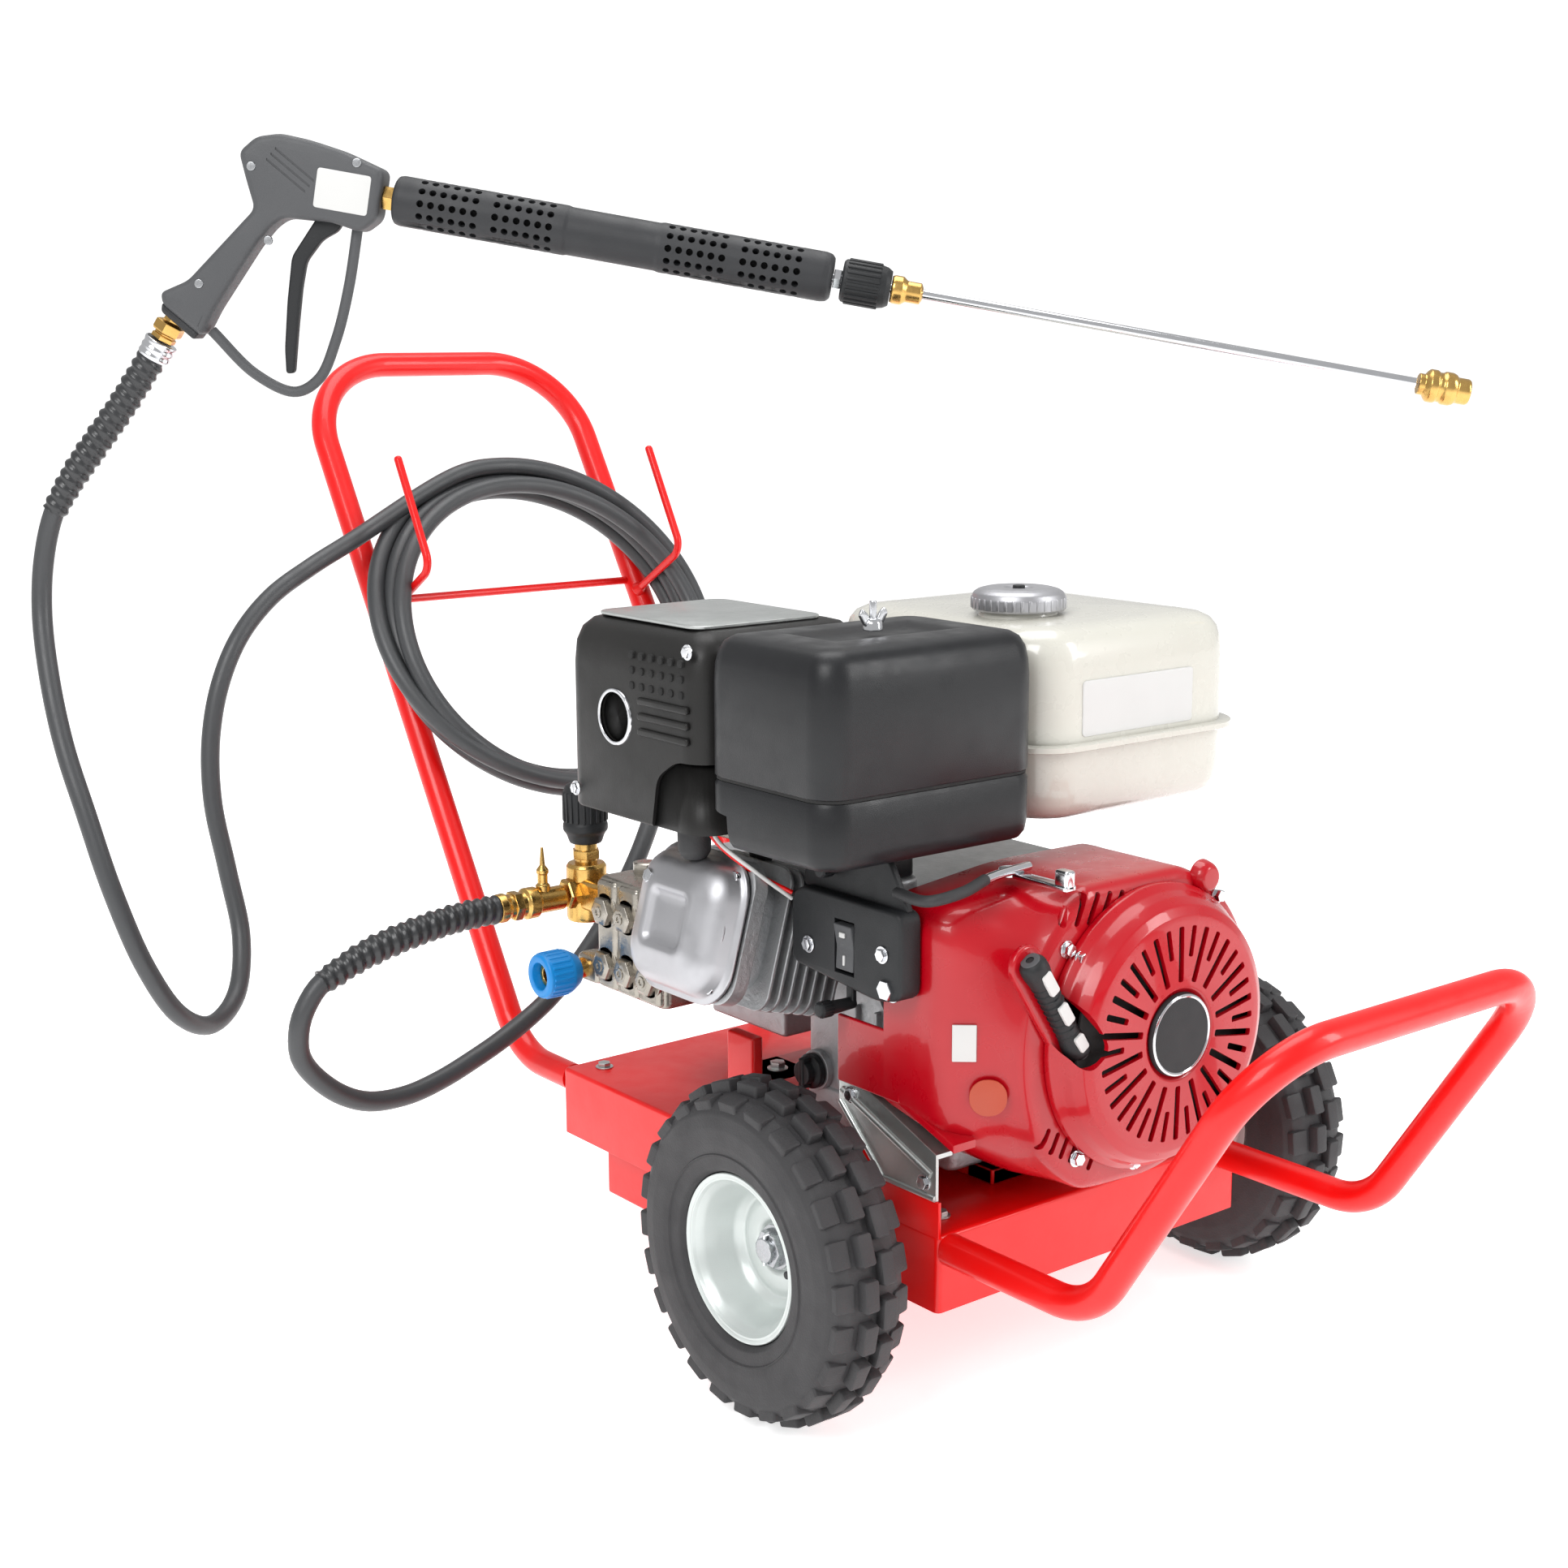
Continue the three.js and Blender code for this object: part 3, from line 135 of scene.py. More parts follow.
def rings_to_shape(rings, closed_ends=True, looped=False):
    count = len(rings[0])
    points = [Vector(p) for ring in rings for p in ring]
    faces = []
    total = len(rings)
    for i in range(total if looped else total - 1):
        near, far = i * count, ((i + 1) % total) * count
        for j in range(count):
            k = (j + 1) % count
            faces.append([near + j, near + k, far + k, far + j])
    if closed_ends and not looped:
        faces.append(list(range(count))[::-1])
        faces.append([(total - 1) * count + j for j in range(count)])
    return points, faces


def filleted(profile, radius, closed=False, steps=4):
    result = []
    count = len(profile)
    for i, corner in enumerate(profile):
        if not closed and i in (0, count - 1):
            result.append(corner)
            continue
        here = Vector(corner)
        before = Vector(profile[i - 1])
        after = Vector(profile[(i + 1) % count])
        reach = min(radius, (before - here).length * 0.45, (after - here).length * 0.45)
        start = here + (before - here).normalized() * reach
        end = here + (after - here).normalized() * reach
        for step in range(steps + 1):
            t = step / steps
            result.append(tuple((1 - t) ** 2 * start + 2 * t * (1 - t) * here + t * t * end))
    return result


def turned(profile, axis="x", at=(0, 0, 0), sides=64, soft=0.8):
    """A profile of (radius, distance) points, from axis to axis or closed on itself."""
    closed = profile[0][0] > 0.01
    line = filleted(profile, soft, closed) if soft else list(profile)
    rings = []
    for i in range(sides):
        angle = 2 * math.pi * i / sides
        c, s = math.cos(angle), math.sin(angle)
        ring = []
        for r, a in line:
            r = max(r, 0.01)
            spot = {"x": (a, r * c, r * s), "y": (r * s, a, r * c), "z": (r * c, r * s, a)}[axis]
            ring.append(Vector(spot) + Vector(at))
        rings.append(ring)
    points = [p for ring in rings for p in ring]
    count = len(line)
    faces = []
    for i in range(sides):
        near, far = i * count, ((i + 1) % sides) * count
        for j in range(count if closed else count - 1):
            k = (j + 1) % count
            faces.append([near + j, near + k, far + k, far + j])
    return points, faces


def rod(axis, at, radius, length, end_radius=None, sides=40, soft=0.8):
    end = radius if end_radius is None else end_radius
    return turned([(0, 0), (radius, 0), (end, length), (0, length)], axis, at, sides, soft)


def round_rect(x0, x1, y0, y1, radius, steps):
    points = []
    radius = max(0.05, min(radius, (x1 - x0) / 2 - 0.01, (y1 - y0) / 2 - 0.01))
    corners = [(x1 - radius, y1 - radius), (x0 + radius, y1 - radius)]
    corners += [(x0 + radius, y0 + radius), (x1 - radius, y0 + radius)]
    for quarter, (cx, cy) in enumerate(corners):
        for step in range(steps + 1):
            angle = math.pi / 2 * (quarter + step / steps)
            points.append((cx + radius * math.cos(angle), cy + radius * math.sin(angle)))
    return points


def soft_box(x0, x1, y0, y1, z0, z1, corner, edge, low_edge=None, crown=0, steps=6):
    """A block with rounded upright edges (corner) and rounded top and bottom edges (edge)."""
    low = edge if low_edge is None else low_edge
    levels = []
    for i in range(steps + 1):
        angle = math.pi / 2 * i / steps
        levels.append((low * (1 - math.sin(angle)), z0 + low * (1 - math.cos(angle))))
    for i in range(steps + 1):
        angle = math.pi / 2 * i / steps
        levels.append((edge * (1 - math.cos(angle)), z1 - edge * (1 - math.sin(angle))))
    rings = []
    for inset, z in levels:
        outline = round_rect(x0 + inset, x1 - inset, y0 + inset, y1 - inset, corner - inset * 0.8, 8)
        rings.append([(x, y, z) for x, y in outline])
    if crown:
        half = min(x1 - x0, y1 - y0) / 2 - edge
        for share in (0.12, 0.3, 0.55, 0.8, 0.97):
            inset = edge + share * half
            height = z1 + crown * (1 - (1 - share) ** 2)
            outline = round_rect(
                x0 + inset, x1 - inset, y0 + inset, y1 - inset, max(corner - edge, 2) * (1 - share), 8,
            )
            rings.append([(x, y, height) for x, y in outline])
    return rings_to_shape(rings)


def slab(outline, front, depth, bevel=1.5, steps=3):
    """An outline of (x, z) points made solid along +Y, its edges rounded by the bevel."""
    centre_lines = []
    count = len(outline)
    area = sum(
        outline[i][0] * outline[(i + 1) % count][1] - outline[(i + 1) % count][0] * outline[i][1]
        for i in range(count)
    )
    side = 1 if area > 0 else -1
    normals = []
    for i in range(count):
        before = Vector(outline[i]) - Vector(outline[i - 1])
        after = Vector(outline[(i + 1) % count]) - Vector(outline[i])
        n = Vector((before.y, -before.x)).normalized() + Vector((after.y, -after.x)).normalized()
        n = n.normalized() if n.length > 1e-6 else Vector((0, 0))
        normals.append(n * side)
    for i in range(steps + 1):
        angle = math.pi / 2 * i / steps
        centre_lines.append((bevel * (1 - math.sin(angle)), front + bevel * (1 - math.cos(angle))))
    for i in range(steps + 1):
        angle = math.pi / 2 * i / steps
        centre_lines.append((bevel * (1 - math.cos(angle)), front + depth - bevel * (1 - math.sin(angle))))
    rings = []
    for inset, y in centre_lines:
        ring = [Vector(p) - n * inset for p, n in zip(outline, normals)]
        rings.append([(p.x, y, p.y) for p in ring])
    points, faces = rings_to_shape(rings, closed_ends=False)
    flat = [[Vector((x, z, 0)) for x, _, z in rings[0]]]
    last = (len(rings) - 1) * count
    for triangle in tessellate_polygon(flat):
        faces.append(list(triangle))
        faces.append([last + i for i in reversed(triangle)])
    return points, faces


def rounded_line(corners, radius, steps=5):
    return filleted(corners, radius, closed=True, steps=steps)


print("a soft box has", len(soft_box(0, 10, 0, 10, 0, 10, 2, 1)[0]), "points")

# %% [markdown]
# ## Paths and tubes
# A line is a list of points: straight runs with round bends, or a smooth curve through a few
# controls. `sweep` makes a tube along it, whose surface can be ribbed or rounded at the ends.

# %% Paths and tubes
def bent_path(corners, radii, step=6.0):
    """Straight runs through the corners with a round bend at each inner one."""
    points = [Vector(corners[0])]
    for i in range(1, len(corners) - 1):
        here = Vector(corners[i])
        back = (Vector(corners[i - 1]) - here).normalized()
        on = (Vector(corners[i + 1]) - here).normalized()
        turn = math.pi - back.angle(on)
        radius = radii[i - 1]
        reach = radius * math.tan(turn / 2)
        centre = here + (back + on).normalized() * (radius / math.cos(turn / 2))
        first = here + back * reach - centre
        last = here + on * reach - centre
        count = max(3, int(radius * turn / step))
        for k in range(count + 1):
            t = k / count
            arm = (first * math.sin((1 - t) * turn) + last * math.sin(t * turn)) / math.sin(turn)
            points.append(centre + arm)
    points.append(Vector(corners[-1]))
    return points


def smooth_path(controls, step=6.0):
    """A centripetal Catmull-Rom curve through the points, sampled evenly."""
    pts = [Vector(p) for p in controls]
    pts = [pts[0] * 2 - pts[1]] + pts + [pts[-1] * 2 - pts[-2]]
    fine = []
    for i in range(1, len(pts) - 2):
        p = pts[i - 1 : i + 3]
        knots = [0.0]
        for a, b in zip(p, p[1:]):
            knots.append(knots[-1] + max((b - a).length, 1e-4) ** 0.5)
        for k in range(24):
            t = knots[1] + (knots[2] - knots[1]) * k / 24
            layer = p
            for depth in range(1, 4):
                layer = [
                    layer[j] * ((knots[j + depth] - t) / (knots[j + depth] - knots[j]))
                    + layer[j + 1] * ((t - knots[j]) / (knots[j + depth] - knots[j]))
                    for j in range(len(layer) - 1)
                ] if depth < 3 else [
                    layer[0] * ((knots[2] - t) / (knots[2] - knots[1]))
                    + layer[1] * ((t - knots[1]) / (knots[2] - knots[1]))
                ]
            fine.append(layer[0])
    fine.append(pts[-2])
    return evenly(fine, step)


def evenly(points, step):
    lengths = [0.0]
    for a, b in zip(points, points[1:]):
        lengths.append(lengths[-1] + (b - a).length)
    count = max(2, round(lengths[-1] / step))
    result = []
    j = 0
    for i in range(count + 1):
        target = lengths[-1] * i / count
        while j < len(points) - 2 and lengths[j + 1] < target:
            j += 1
        span = lengths[j + 1] - lengths[j]
        t = (target - lengths[j]) / span if span > 1e-9 else 0
        result.append(points[j].lerp(points[j + 1], t))
    return result


def path_length(points):
    return sum((b - a).length for a, b in zip(points, points[1:]))


def sweep(points, radius, sides=24, radius_at=None, capped=True):
    """A tube along the points. radius_at(distance, angle) can shape its surface."""
    rings = []
    tangent = (points[1] - points[0]).normalized()
    side = tangent.orthogonal().normalized()
    distance = 0.0
    for i, point in enumerate(points):
        if i:
            distance += (point - points[i - 1]).length
        ahead = points[min(i + 1, len(points) - 1)] - points[max(i - 1, 0)]
        new = ahead.normalized()
        side = (tangent.rotation_difference(new) @ side).normalized()
        tangent = new
        up = tangent.cross(side)
        ring = []
        for j in range(sides):
            angle = 2 * math.pi * j / sides
            r = radius_at(distance, angle) if radius_at else radius
            ring.append(point + side * (r * math.cos(angle)) + up * (r * math.sin(angle)))
        rings.append(ring)
    return rings_to_shape(rings, capped)


bend = bent_path([(0, 0, 0), (100, 0, 0), (100, 100, 0)], [50], 1)
print("two runs of 100 mm with a 50 mm bend measure", round(path_length(bend), 1), "mm")

# %% [markdown]
# ## From shapes to pieces
# `piece` makes the object, its finish and its body, and hides the solids that it stands for.
# `carve` cuts shapes out of a piece.

# %% From shapes to pieces
def piece(name, shape, material, body=MAIN, place=WORLD, nodes=(), slot=None, smooth=32, rides=True):
    """Makes the object, gives it its material and body, and hides the CAD nodes it stands for."""
    mesh = bpy.data.meshes.new(name)
    mesh.from_pydata([to_row(place @ Vector(p)) for p in shape[0]], [], shape[1])
    tidy = bmesh.new()
    tidy.from_mesh(mesh)
    bmesh.ops.remove_doubles(tidy, verts=tidy.verts, dist=1e-6)
    bmesh.ops.recalc_face_normals(tidy, faces=tidy.faces)
    tidy.to_mesh(mesh)
    tidy.free()
    obj = bpy.data.objects.new(name, mesh)
    bpy.context.scene.collection.objects.link(obj)
    mesh.materials.append(material)
    smooth_faces(mesh, smooth)
    if rides:
        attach(obj, body)
    if nodes:
        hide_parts(*nodes)
    slot = slot or SLOTS.get(material.name)
    return obj


def smooth_faces(mesh, degrees):
    mesh.polygons.foreach_set("use_smooth", [True] * len(mesh.polygons))
    mesh.set_sharp_from_angle(angle=math.radians(degrees))


def carve(obj, cutter_shapes, place=WORLD, smooth=32):
    """Cuts the shapes out of the piece and keeps the result as plain mesh."""
    cutter = piece(obj.name + "_cutter", merge(*cutter_shapes), obj.data.materials[0], place=place,
        rides=False)
    boolean = obj.modifiers.new("cut", "BOOLEAN")
    boolean.object = cutter
    boolean.operation = "DIFFERENCE"
    boolean.solver = "EXACT"
    boolean.use_self = True
    result = bpy.data.meshes.new_from_object(obj.evaluated_get(bpy.context.evaluated_depsgraph_get()))
    obj.modifiers.remove(boolean)
    old = obj.data
    obj.data = result
    bpy.data.meshes.remove(old)
    bpy.data.objects.remove(cutter)
    smooth_faces(obj.data, smooth)
    return obj



# %% [markdown]
# ## Finishes
# Every finish is one recipe: a colour that drifts between two tones, a roughness that varies,
# a fine bump for grain and a coarse one for castings.

# %% Finish recipe
def finish(
    name, color, second, rough, metal=0.0, grain=0.05, grain_size=900.0, coarse=0.0,
    coarse_size=60.0, patch_size=12.0, rough_range=0.12, coat=0.0, coat_rough=0.05, specular=0.5,
    stretch=(1, 1, 1), scratches=0.0,
):
    material = bpy.data.materials.new(name)
    material.use_nodes = True
    nodes, links = material.node_tree.nodes, material.node_tree.links
    shader = nodes["Principled BSDF"]
    shader.inputs["Metallic"].default_value = metal
    shader.inputs["Coat Weight"].default_value = coat
    shader.inputs["Coat Roughness"].default_value = coat_rough
    shader.inputs["Specular IOR Level"].default_value = specular

    def add(kind, **values):
        node = nodes.new("ShaderNode" + kind)
        for socket, value in values.items():
            node.inputs[socket.replace("_", " ")].default_value = value
        return node

    place = add("TexCoord")
    spread = add("Mapping", Scale=stretch)
    links.new(place.outputs["Object"], spread.inputs["Vector"])

    def noise(scale, detail):
        node = add("TexNoise", Scale=scale, Detail=detail)
        links.new(spread.outputs["Vector"], node.inputs["Vector"])
        return node

    patches = noise(patch_size, 5)
    tones = nodes.new("ShaderNodeMix")
    tones.data_type = "RGBA"
    tones.inputs["A"].default_value = (*color, 1)
    tones.inputs["B"].default_value = (*second, 1)
    links.new(patches.outputs["Fac"], tones.inputs["Factor"])
    links.new(tones.outputs["Result"], shader.inputs["Base Color"])

    smudges = noise(patch_size * 4, 4)
    smoothest = max(rough - rough_range / 2, 0.02)
    roughest = min(rough + rough_range / 2, 1.0)
    shine = add("MapRange", From_Min=0.3, From_Max=0.7, To_Min=smoothest, To_Max=roughest)
    links.new(smudges.outputs["Fac"], shine.inputs["Value"])
    links.new(shine.outputs["Result"], shader.inputs["Roughness"])

    fine = noise(grain_size, 2)
    last = add("Bump", Strength=grain, Distance=0.0005)
    links.new(fine.outputs["Fac"], last.inputs["Height"])
    if coarse:
        lumps = noise(coarse_size, 3)
        second_bump = add("Bump", Strength=coarse, Distance=0.002)
        links.new(lumps.outputs["Fac"], second_bump.inputs["Height"])
        links.new(last.outputs["Normal"], second_bump.inputs["Normal"])
        last = second_bump
    if scratches:
        lines = add("TexVoronoi")
        lines.feature = "DISTANCE_TO_EDGE"
        lines.inputs["Scale"].default_value = 34.0
        links.new(spread.outputs["Vector"], lines.inputs["Vector"])
        hair = add("MapRange", From_Max=0.012)
        links.new(lines.outputs["Distance"], hair.inputs["Value"])
        third = add("Bump", Strength=scratches, Distance=0.0002)
        links.new(hair.outputs["Result"], third.inputs["Height"])
        links.new(last.outputs["Normal"], third.inputs["Normal"])
        last = third
    links.new(last.outputs["Normal"], shader.inputs["Normal"])
    return material


FRAME_RED = finish("frame_red", (0.78, 0.003, 0.002), (0.70, 0.002, 0.002), 0.36, coat=0.25,
    specular=0.35, coarse=0.05, coarse_size=140, grain=0.03)
ENGINE_RED = finish("engine_red", (0.46, 0.0, 0.007), (0.38, 0.0, 0.006), 0.3, coat=0.45, specular=0.35,
    coarse=0.04, coarse_size=120, grain=0.02)
TANK_WHITE = finish("tank_white", (0.60, 0.59, 0.53), (0.54, 0.53, 0.475), 0.28, coat=0.6, coarse=0.04,
    coarse_size=90, grain=0.03)
BLACK_PLASTIC = finish("black_plastic", (0.008, 0.008, 0.009), (0.014, 0.015, 0.017), 0.36, specular=0.32,
    grain=0.22, grain_size=1400, rough_range=0.16)
BLACK_METAL = finish("black_metal", (0.009, 0.009, 0.009), (0.018, 0.017, 0.016), 0.4, specular=0.3,
    grain=0.2, grain_size=1100, coarse=0.05)
# Painted shade: a near-black finish put into slots, holes, grooves and the sleeve's core to stand in for the
# shade inside them.
PAINTED_RECESS_SHADE = finish("painted_recess_shade", (0.006, 0.006, 0.006), (0.012, 0.012, 0.012), 0.8, grain=0.3)
GALVANISED = finish("galvanised", (0.60, 0.62, 0.61), (0.42, 0.44, 0.43), 0.34, metal=0.9, grain=0.08,
    coarse=0.05, patch_size=40, scratches=0.15)
STAMPED = finish("stamped_steel", (0.52, 0.52, 0.54), (0.40, 0.40, 0.42), 0.4, metal=0.9, grain=0.06,
    coarse=0.04, patch_size=14)
RIM_WHITE = finish("rim_finish", (0.66, 0.70, 0.68), (0.50, 0.54, 0.53), 0.35, metal=0.35, grain=0.08,
    coarse=0.06, patch_size=22)
CAST = finish("cast_aluminium", (0.52, 0.53, 0.54), (0.34, 0.35, 0.36), 0.5, metal=0.75, grain=0.35,
    grain_size=700, coarse=0.3, coarse_size=240, patch_size=25)
NICKEL = finish("nickel", (0.46, 0.43, 0.38), (0.26, 0.24, 0.21), 0.3, metal=0.9, grain=0.1, coarse=0.25,
    coarse_size=150, patch_size=45)
STEEL = finish("steel", (0.50, 0.51, 0.52), (0.34, 0.35, 0.37), 0.28, metal=1.0, grain=0.06, patch_size=60)
CHROME = finish("chrome", (0.74, 0.75, 0.77), (0.62, 0.63, 0.66), 0.14, metal=1.0, grain=0.02, patch_size=30)
BRASS = finish("brass", (0.72, 0.46, 0.15), (0.52, 0.31, 0.09), 0.26, metal=1.0, grain=0.06, patch_size=50)
BLUE = finish("blue_plastic", (0.0, 0.25, 0.66), (0.0, 0.19, 0.54), 0.4, grain=0.15)
GUN_GREY = finish("gun_grey", (0.085, 0.087, 0.091), (0.060, 0.062, 0.066), 0.5, specular=0.35,
    grain=0.35, grain_size=1200)
SLEEVE_GREY = finish("sleeve_grey", (0.030, 0.031, 0.034), (0.022, 0.023, 0.025), 0.5, specular=0.35,
    grain=0.3, grain_size=1300)
TRIM_BLACK = finish("trim_black", (0.010, 0.011, 0.012), (0.018, 0.019, 0.021), 0.5, specular=0.35,
    grain=0.3, grain_size=1200)
LABEL = finish("blank_label", (0.62, 0.62, 0.61), (0.56, 0.56, 0.55), 0.5, grain=0.04)
ORANGE = finish("orange_sticker", (0.44, 0.06, 0.02), (0.40, 0.05, 0.02), 0.4, grain=0.04)
TYRE = finish("tyre_rubber", (0.036, 0.035, 0.037), (0.022, 0.021, 0.023), 0.62, grain=0.5,
    grain_size=600, coarse=0.12, coarse_size=90)
RUBBER = finish("rubber", (0.018, 0.018, 0.019), (0.028, 0.028, 0.03), 0.6, grain=0.4)
HOSE = finish("hose_rubber", (0.055, 0.057, 0.060), (0.040, 0.042, 0.045), 0.42, grain=0.3,
    grain_size=800, coarse=0.05)
RELIEF = finish("bend_protector", (0.020, 0.021, 0.023), (0.034, 0.035, 0.037), 0.3, grain=0.2)
print("finishes", len(bpy.data.materials))

# %% [markdown]
# ## Camera, floor and light
# A long-lens view from the front left, a little above the machine, over a pale floor.

# %% Camera and stage
camera_data = bpy.data.cameras.new("camera")
camera = bpy.data.objects.new("camera", camera_data)
bpy.context.scene.collection.objects.link(camera)
bpy.context.scene.camera = camera
camera_data.sensor_width = 36
camera_data.lens = 52.06
camera_data.shift_x = -0.0281
camera_data.shift_y = -0.0126
camera_data.clip_end = 60
camera.location = to_row((-1249.5, -1284.4, 825.3))
camera.rotation_euler = (math.radians(90 - 11.0), 0, math.radians(-39.42))


def stage_plane(name, size, centre, color):
    mesh = bpy.data.meshes.new(name)
    half = size / 2
    corners = [(-half, -half), (half, -half), (half, half), (-half, half)]
    mesh.from_pydata([(centre[0] + x, centre[1] + y, centre[2]) for x, y in corners], [], [[0, 1, 2, 3]])
    obj = bpy.data.objects.new(name, mesh)
    bpy.context.scene.collection.objects.link(obj)
    paint = finish(name + "_paint", color, tuple(c * 0.99 for c in color), 0.85, grain=0.02)
    paint.node_tree.nodes["Principled BSDF"].inputs["Emission Color"].default_value = (1, 1, 1, 1)
    paint.node_tree.nodes["Principled BSDF"].inputs["Emission Strength"].default_value = 0.7
    mesh.materials.append(paint)
    return obj


stage_plane("floor", 30.0, (0, 0, -0.001), (0.93, 0.93, 0.93))
world = bpy.data.worlds.new("studio")
bpy.context.scene.world = world
world.use_nodes = True
sky = world.node_tree.nodes["Background"]
sky.inputs["Color"].default_value = (1, 1, 1, 1)
seen = world.node_tree.nodes.new("ShaderNodeLightPath")
level = world.node_tree.nodes.new("ShaderNodeMapRange")
level.inputs["To Min"].default_value = 0.62
level.inputs["To Max"].default_value = 1.25
world.node_tree.links.new(seen.outputs["Is Camera Ray"], level.inputs["Value"])
world.node_tree.links.new(level.outputs["Result"], sky.inputs["Strength"])


def softbox(name, place, target, size, power):
    data = bpy.data.lights.new(name, "AREA")
    data.shape = "RECTANGLE"
    data.size, data.size_y = size
    data.energy = power
    light = bpy.data.objects.new(name, data)
    bpy.context.scene.collection.objects.link(light)
    light.location = place
    light.rotation_euler = (Vector(target) - Vector(place)).to_track_quat("-Z", "Y").to_euler()


softbox("key", (-2.6, -1.2, 2.6), (0, 0, 0.4), (1.6, 1.6), 70)
softbox("strip", (1.6, -2.6, 1.8), (0, 0, 0.4), (0.7, 2.0), 45)
softbox("top", (0.2, 0.4, 3.0), (0, 0, 0.3), (2.0, 2.0), 50)
bpy.context.scene.view_settings.view_transform = "Standard"
bpy.context.scene.view_settings.exposure = -0.12
print("camera", [round(c, 2) for c in camera.location], "lens", camera_data.lens, "mm")

# %% [markdown]
# ## Hose
# One free hose of 17.5 mm. It leaves the pump's outlet inside a bend protector, loops back into
# the coil on the two hooks, and runs from the top of the coil to the swivel under the gun.

# %% Hose route
HOSE_R = 8.75
PUMP_RELIEF = [(-260, 375, 325.5), (-300, 375, 324), (-345, 376, 317), (-386, 378, 306), (-424, 380, 289)]
OUTLET_RUN = [
    (-437, 381, 274), (-445, 382, 255), (-443, 386, 226), (-415, 390, 192), (-380, 395, 172),
    (-340, 400, 167), (-303, 406, 171), (-264, 412, 181), (-224, 420, 193), (-168, 432, 217),
    (-110, 443, 262), (-58, 455, 321), (-12, 480, 372), (42, 520, 410),
]
GUN_RUN = [
    (-190, 752, 612), (-236, 744, 592), (-285, 733, 567), (-324, 722, 533), (-348, 717, 491),
    (-362, 713, 441), (-368, 703, 383), (-364, 687, 318), (-364, 664, 256), (-385, 635, 212),
    (-424, 605, 198), (-464, 582, 221), (-493, 579, 270), (-514, 591, 340), (-524, 614, 406),
    (-529, 642, 463), (-528, 669, 520), (-523, 690, 575), (-517, 693, 622),
]
GUN_RELIEF = [tuple(HEEL @ Vector(p)) for p in [(205, 0, -10), (171, 0, -10), (134, 0, -7), (93, 0, -3),
    (26, 0, 0)]]
COIL_CENTRE = on_handle(0, 421, 45)
COIL_TURNS = 5
COIL_LAYERS = [(164, 17.5), (164, 0), (164, -17.5), (179, -8.75), (179, 8.75), (203, -2)]
COIL_WIDENING = 1.04
ENTRY_ANGLE = 40
EXIT_ANGLE = 205
TURN_POINTS = 24


def coil_point(turn_angle):
    """A point of the winding; the angle runs from the bottom round the right side, in degrees."""
    total = turn_angle / 360
    layer = min(int(total), len(COIL_LAYERS) - 2)
    share = min(max((total - layer - 0.62) / 0.38, 0), 1)
    share = share * share * (3 - 2 * share)
    r = COIL_LAYERS[layer][0] * (1 - share) + COIL_LAYERS[layer + 1][0] * share
    out = COIL_LAYERS[layer][1] * (1 - share) + COIL_LAYERS[layer + 1][1] * share
    angle = math.radians(turn_angle)
    slack = 12 * math.cos(angle) if layer == 0 else 0
    x = (r + slack) * math.sin(angle) * COIL_WIDENING
    along = -(r + slack) * math.cos(angle)
    return COIL_CENTRE + Vector((x, 0, 0)) + LEAN_UP * along + LEAN_OUT * out


def hose_controls():
    coil = []
    angle = ENTRY_ANGLE + 36
    last = EXIT_ANGLE + 360 * COIL_TURNS - 360
    while angle <= last:
        coil.append(coil_point(angle))
        angle += 360 / TURN_POINTS
    return [Vector(p) for p in PUMP_RELIEF + OUTLET_RUN] + coil + [Vector(p) for p in GUN_RUN + GUN_RELIEF]


hose_line = smooth_path(hose_controls(), 7.0)
hose_metres = path_length(hose_line) / 1000
print("hose length", round(hose_metres, 2), "m with", COIL_TURNS, "turns")


def spiral_ribs(distance, angle):
    return 12.0 + 1.1 * math.sin(2 * math.pi * distance / 9 + angle) + 0.3 * math.sin(distance / 3)


def relief(name, controls, node):
    line = smooth_path(controls, 1.6)
    total = path_length(line)

    def radius_at(distance, angle):
        taper = 1.0 if distance < total * 0.7 else 1.0 - 0.16 * (distance / total - 0.7) / 0.3
        return spiral_ribs(distance, angle) * taper

    return piece(name, sweep(line, 12, 28, radius_at), RELIEF, nodes=[node], slot="hose_rubber", smooth=60)


pump_relief = relief("pump_bend_protector", PUMP_RELIEF, "pump_hose_sleeve")
gun_relief = relief("gun_bend_protector", list(reversed(GUN_RELIEF)), "gun_hose_sleeve")
hose = piece(
    "hose", sweep(hose_line, HOSE_R, 20), HOSE, nodes=["hose_coil", "hose_pump_run", "hose_gun_run"],
    slot="hose_rubber", smooth=60,
)
[to_row(p) for p in hose_line]

# %% [markdown]
# ## Copies
# Tread blocks, slots, ribs and bolts repeat. One node tree makes every row and ring of them.

# %% Rows and rings
SLOTS = {
    "frame_red": "frame_red", "engine_red": "engine_red", "tank_white": "tank_white",
    "black_plastic": "black_plastic", "black_metal": "black_metal", "painted_recess_shade": "black_plastic",
    "galvanised": "zinc", "stamped_steel": "zinc", "rim_finish": "zinc", "cast_aluminium": "aluminium",
    "nickel": "steel", "steel": "steel", "chrome": "steel", "brass": "brass",
    "blue_plastic": "blue_plastic", "gun_grey": "grey_plastic", "sleeve_grey": "black_plastic",
    "trim_black": "black_plastic", "blank_label": "tank_white", "orange_sticker": "engine_red",
    "tyre_rubber": "tyre", "rubber": "rubber",
}


